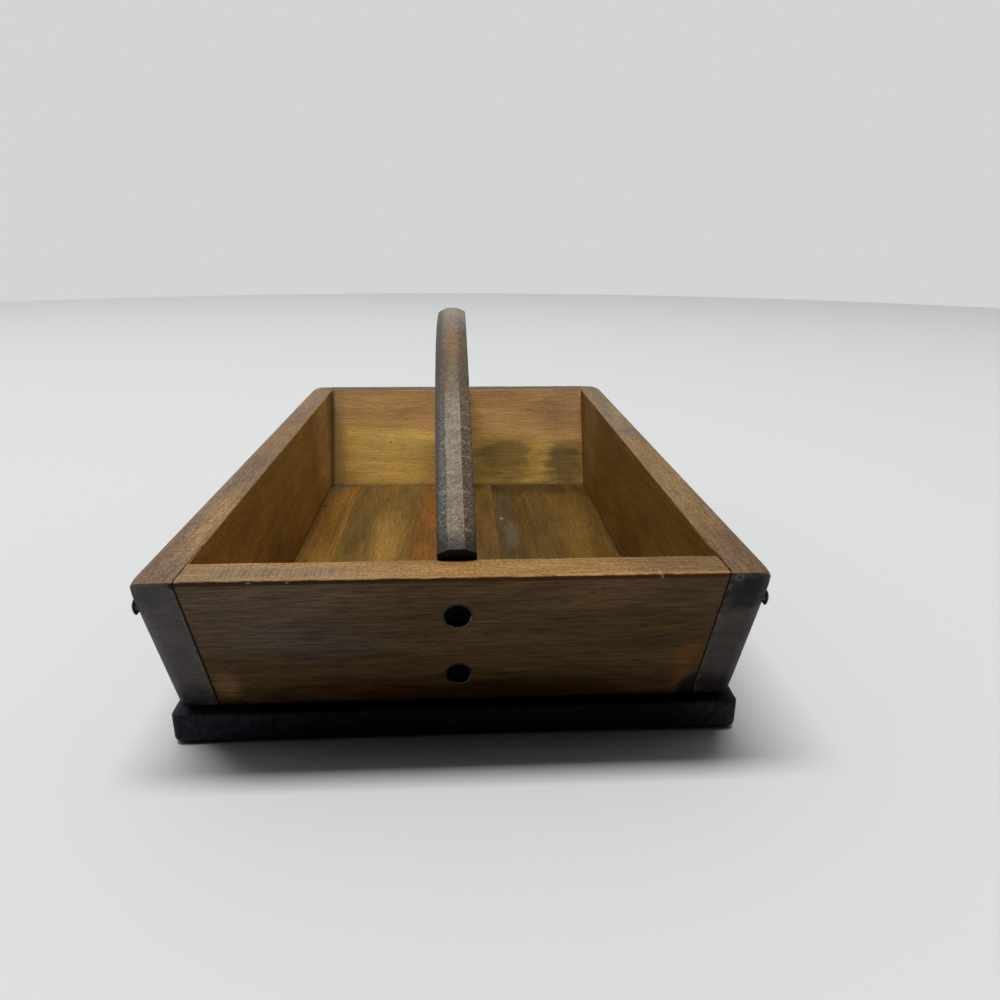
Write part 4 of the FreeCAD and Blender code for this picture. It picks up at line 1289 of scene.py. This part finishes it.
@dataclass
class Handle:
    """The sawn arch that the tote is carried by. Its sizes are in millimetres.

    Attributes:
        node: The solid's name.
        wear: How far its edges are worn back.
        reach: How far from an edge its wear goes.
        crisp: The angle from which an edge is shaded as a sharp one, in degrees.
        round_above: The height above which hands have rubbed every edge round.
    """

    node: str = "carrying_handle"
    wear: float = 0.08
    reach: float = 1.1
    crisp: float = 13.0
    round_above: float = 140.0

    def build(self) -> None:
        """Builds and dresses the handle."""
        arch = WornPiece(self.node, "handle_wood", Along.Y, wear=self.wear, reach=self.reach,
                         crisp=self.crisp, round_above=self.round_above, seed=3.0)
        arch.build(self._finish())

    def _finish(self) -> bpy.types.Material:
        """Grey-brown hand-rubbed wood, scratched along its crown, with painted shade at its foot, a painted
        sheen on its top and painted glints among its specks.

        Returns:
            The material.
        """
        bench = Bench("handle_wood")
        grain = Grain(Along.Y, (0.0, 60.0), 2.6, 3.0, 80.0, 21.0)
        figure = grain.read(bench)
        colour = self._facets(bench, grain, figure)
        scratch = self._scratches(bench)
        crown = bench.facing(UP, 0.25, 0.45)
        side = bench.math("ABSOLUTE", bench.vector("DOT_PRODUCT", bench.outward, RIGHTWARD))
        middle = bench.all_of(crown, bench.ramp(side, 0.3, 0.1))
        colour = bench.coat(colour, (0.42, 0.34, 0.24), middle, scratch, 0.45)
        colour = self._specks(bench, colour, crown)
        colour = self._edges(bench, colour)
        # Painted shade: the crown turns near black just above the rim, where the foot lies in shadow.
        low = bench.all_of(crown, bench.ramp(bench.z, RIM + 11.5, RIM + 5.0))
        colour = bench.coat(colour, (0.020, 0.016, 0.012), low, 0.85)
        # Painted shade over the leg's dark paint: black on its outer face above the rim, which faces down
        # and forward.
        foot = bench.all_of(bench.facing(FRONT_OUTSIDE, 0.4, 0.75),
                            bench.ramp(bench.z, RIM - 4.0, RIM - 1.0))
        colour = bench.coat(colour, SEAM_AND_SHADE_BLACK, foot, 0.95)
        patch = bench.noise((6.0, 6.0, 6.0), 3.0, 0.6, 35.0)
        rough = bench.math("MULTIPLY_ADD", patch, 0.3, 0.36)
        normal = bench.bump(figure.fibres, 0.12)
        normal = bench.bump(figure.speckle, 0.2, normal)
        normal = bench.bump(scratch, 0.05, normal)
        return bench.finish(colour, rough, normal, 0.25)

    def _facets(self, bench: Bench, grain: Grain, figure: Figure) -> Socket:
        """The flanks, the tan crown, its bluish left facet and its brown right one, with a painted sheen
        along the top of the arch.

        Args:
            bench: The material that it is laid out on.
            grain: How the wood was cut.
            figure: The marks of the grain.

        Returns:
            The colour.
        """
        flank = WoodTone((0.105, 0.074, 0.045), (0.064, 0.044, 0.027), 0.3, 0.5, 0.3, 0.2, 0.35, 0.2)
        crown = WoodTone((0.205, 0.157, 0.100), (0.150, 0.110, 0.068), 0.15, 0.4, 0.2, 0.14, 0.25, 0.22)
        left = WoodTone((0.106, 0.096, 0.080), (0.072, 0.065, 0.054), 0.15, 0.4, 0.2, 0.14, 0.3, 0.3)
        right = WoodTone((0.106, 0.070, 0.036), (0.066, 0.044, 0.022), 0.15, 0.4, 0.2, 0.14, 0.3, 0.3)
        crown_stains_and_sheen = (
            Stain((0.132, 0.083, 0.042), (0.0, -92.0, 143.0), (14.0, 26.0, 14.0), 0.85, 0.5, 0.6),
            Stain((0.225, 0.115, 0.045), (-1.2, -64.0, 152.0), (5.0, 17.0, 9.0), 0.9, 0.7, 0.9, 4.0),
            Stain((0.190, 0.160, 0.088), (-1.2, -94.0, 141.0), (2.0, 16.0, 12.0), 0.6),
            # Painted sheen: a light grey patch along the top of the arch.
            Stain((0.225, 0.18, 0.135), (0.0, 0.0, 161.0), (12.0, 46.0, 8.0), 0.85))
        side_stains_and_sheen = (
            Stain((0.100, 0.072, 0.043), (0.0, -92.0, 143.0), (14.0, 30.0, 18.0), 0.8, 0.5, 0.6),
            # Painted sheen: a light grey patch along the top of the facets.
            Stain((0.19, 0.155, 0.118), (0.0, -8.0, 160.0), (12.0, 40.0, 8.0), 0.8, 0.5, 0.6))
        side = bench.vector("DOT_PRODUCT", bench.outward, RIGHTWARD)
        top = Face(UP, crown, crown_stains_and_sheen).paint(bench, grain, figure, 33.0)
        for way, tone, seed in ((-1, left, 35.0), (1, right, 37.0)):
            facet = Face(UP, tone, side_stains_and_sheen).paint(bench, grain, figure, seed)
            top = bench.coat(top, facet, bench.ramp(side, way * 0.04, way * 0.34))
        colour = flank.mark(bench, figure, flank.paint(bench, figure))
        return bench.blend(bench.facing(UP, 0.25, 0.45), colour, top)

    def _scratches(self, bench: Bench) -> Socket:
        """Fine slanting scratches."""
        lines = bench.noise((0.6, 9.0, 9.0), 2.0, 0.6, 31.0, bench.turned("Z", 58))
        return bench.all_of(bench.ramp(lines, 0.54, 0.66), bench.ramp(bench.z, 145.0, 125.0))

    def _specks(self, bench: Bench, colour: Socket, crown: Socket) -> Socket:
        """Fine dark specks on the lower part of the crown, where the old paint has worn, and light specks
        there that are painted glints.

        Args:
            bench: The material that it is laid out on.
            colour: The colour underneath.
            crown: Where the crown is.

        Returns:
            The colour with the specks.
        """
        low = bench.all_of(crown, bench.ramp(bench.z, 142.0, 118.0))
        grit = bench.noise((0.6, 0.8, 0.6), 1.0, 0.5, 45.0)
        # Painted glints: the light specks.
        light = bench.all_of(low, bench.ramp(grit, 0.57, 0.67), 0.45)
        dark = bench.all_of(low, bench.ramp(grit, 0.44, 0.34), 0.7)
        colour = bench.blend(light, colour, (0.34, 0.30, 0.24))
        return bench.blend(dark, colour, (0.030, 0.024, 0.018))

    def _edges(self, bench: Bench, colour: Socket) -> Socket:
        """A light line along the crown's two arrises, and dark outer edges.

        Args:
            bench: The material that it is laid out on.
            colour: The colour underneath.

        Returns:
            The colour with the edges.
        """
        arris = bench.ramp(bench.attribute("arris"), 0.55, 0.95)
        rub = bench.ramp(bench.noise((1.5, 12.0, 12.0), 3.0, 0.6, 39.0), 0.36, 0.56)
        across = bench.math("ABSOLUTE", bench.x)
        inside = bench.ramp(across, 5.6, 5.2)
        line = bench.all_of(arris, rub, inside, bench.ramp(bench.z, 140.0, 125.0), 0.5)
        colour = bench.blend(line, colour, (0.34, 0.28, 0.20))
        edge = bench.ramp(across, 6.3, 7.2)
        return bench.coat(colour, (0.035, 0.030, 0.024), edge, 0.6)


@dataclass
class Studio:
    """The floor, the light and the camera.

    Sizes are in metres and angles in degrees.
    """

    floor_radius: float = 2.6
    floor_gap: float = 0.00002
    floor_colour: Colour = (0.60, 0.604, 0.608)
    backdrop: Colour = (0.66, 0.662, 0.652)
    eye: Point = (0.0017, -0.4266, 0.1977)
    pitch: float = 19.117
    yaw: float = 3.147
    roll: float = -0.322
    lens: float = 27.036
    sensor: float = 36.0
    dark_side: float = 0.013
    wall_light: float = 0.66
    left_bias: float = 0.24
    lamp_place: Point = (-0.61, -0.08, 5.0)
    lamp_size: Pair = (3.6, 0.8)
    lamp_power: float = 250.0

    def build(self) -> None:
        """Builds the floor, the light round it and the camera."""
        self._floor()
        self._world()
        self._lamp()
        self._camera()

    def _floor(self) -> None:
        """Builds a round pale floor."""
        shape = bmesh.new()
        bmesh.ops.create_circle(shape, cap_ends=True, segments=96, radius=self.floor_radius)
        bmesh.ops.translate(shape, verts=shape.verts, vec=(0.0, 0.0, -self.floor_gap))
        mesh = bpy.data.meshes.new("floor")
        shape.to_mesh(mesh)
        shape.free()
        floor = place_object("floor", mesh)
        material = bpy.data.materials.new("pale_floor")
        material.use_nodes = True
        shader = material.node_tree.nodes["Principled BSDF"]
        shader.inputs["Base Color"].default_value = (*self.floor_colour, 1)
        shader.inputs["Roughness"].default_value = 0.9
        mesh.materials.append(material)

    def _world(self) -> None:
        """Lights the scene from behind, the sides and above, and hardly from the camera's side."""
        world = bpy.data.worlds.new("tent")
        bpy.context.scene.world = world
        world.use_nodes = True
        sky = Nodes(world.node_tree)
        split = sky.nodes.new("ShaderNodeSeparateXYZ")
        sky.links.new(sky.nodes.new("ShaderNodeTexCoord").outputs["Generated"], split.inputs[0])
        walls = sky.ramp(split.outputs["Y"], -0.3, -0.05, self.dark_side, self.wall_light)
        tilt = sky.ramp(split.outputs["X"], -1.0, 1.0, 1.0 + self.left_bias, 1.0 - self.left_bias)
        light = sky.nodes.new("ShaderNodeBackground")
        sky.links.new(sky.all_of(walls, tilt), light.inputs["Strength"])
        shown = sky.nodes.new("ShaderNodeBackground")
        shown.inputs["Color"].default_value = (*self.backdrop, 1)
        pick = sky.nodes.new("ShaderNodeMixShader")
        sky.links.new(sky.nodes.new("ShaderNodeLightPath").outputs["Is Camera Ray"], pick.inputs[0])
        sky.links.new(light.outputs[0], pick.inputs[1])
        sky.links.new(shown.outputs[0], pick.inputs[2])
        output = sky.nodes.new("ShaderNodeOutputWorld")
        sky.links.new(pick.outputs[0], output.inputs["Surface"])

    def _lamp(self) -> None:
        """Hangs the lamp strip over the front of the tote."""
        data = bpy.data.lights.new("lamp", "AREA")
        data.shape = "RECTANGLE"
        data.size, data.size_y = self.lamp_size
        data.energy = self.lamp_power
        lamp = place_object("lamp", data)
        lamp.matrix_world = Matrix.Translation(self.lamp_place)
        lamp.visible_camera = False

    def _camera(self) -> None:
        """Stands the camera where the photograph was taken from."""
        data = bpy.data.cameras.new("camera")
        data.lens = self.lens
        data.sensor_width = self.sensor
        data.sensor_fit = "HORIZONTAL"
        data.clip_start = 0.01
        camera = place_object("camera", data)
        pitch, yaw, roll = (math.radians(angle) for angle in (self.pitch, self.yaw, self.roll))
        right = Vector((math.cos(yaw), -math.sin(yaw), 0))
        ahead = Vector((math.sin(yaw) * math.cos(pitch), math.cos(yaw) * math.cos(pitch), -math.sin(pitch)))
        up = Vector((math.sin(yaw) * math.sin(pitch), math.cos(yaw) * math.sin(pitch), math.cos(pitch)))
        turned_right = right * math.cos(roll) - up * math.sin(roll)
        turned_up = right * math.sin(roll) + up * math.cos(roll)
        axes = Matrix((turned_right, turned_up, -ahead)).transposed().to_4x4()
        camera.matrix_world = Matrix.Translation(self.eye) @ axes
        bpy.context.scene.camera = camera


@dataclass(frozen=True)
class ScrewFinish:
    """Dark aged steel with a little rust, or blackened steel made dark enough to serve as painted shade."""

    name: str
    steel: Colour = (0.130, 0.128, 0.126)
    rust: Colour = (0.120, 0.075, 0.045)
    metal: float = 0.75
    gloss: float = 0.5

    def build(self) -> bpy.types.Material:
        """Builds the material.

        Returns:
            The material.
        """
        bench = Bench(self.name)
        spots = bench.noise((1.2, 1.2, 1.2), 4.0, 0.6, 2.0)
        colour = bench.blend(bench.ramp(spots, 0.5, 0.7), self.steel, self.rust)
        rough = bench.math("MULTIPLY_ADD", spots, 0.3, 0.35)
        bench.shader.inputs["Metallic"].default_value = self.metal
        return bench.finish(colour, rough, bench.bump(spots, 0.05), self.gloss)


def main() -> None:
    """Builds the tote and its setting."""
    logging.basicConfig(level=logging.INFO, format="%(message)s")
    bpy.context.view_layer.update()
    bpy.context.scene.view_settings.view_transform = "Standard"
    Studio().build()
    Tray().build()
    Handle().build()
    aged = ScrewFinish("screw_steel").build()
    # Blackened steel for the handle screws, made near black and dull as painted shade deep in their bores.
    black = ScrewFinish("screw_blackened_and_shaded", steel=(0.0035, 0.0034, 0.0034), rust=(0.007, 0.005, 0.004),
                        metal=0.0, gloss=0.06).build()
    for name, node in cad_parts.items():
        if "screw" in name:
            node.data.materials.clear()
            node.data.materials.append(black if name.startswith("handle") else aged)
            log.info("%s: %d faces", name, len(node.data.polygons))


if __name__ == "__main__":
    main()
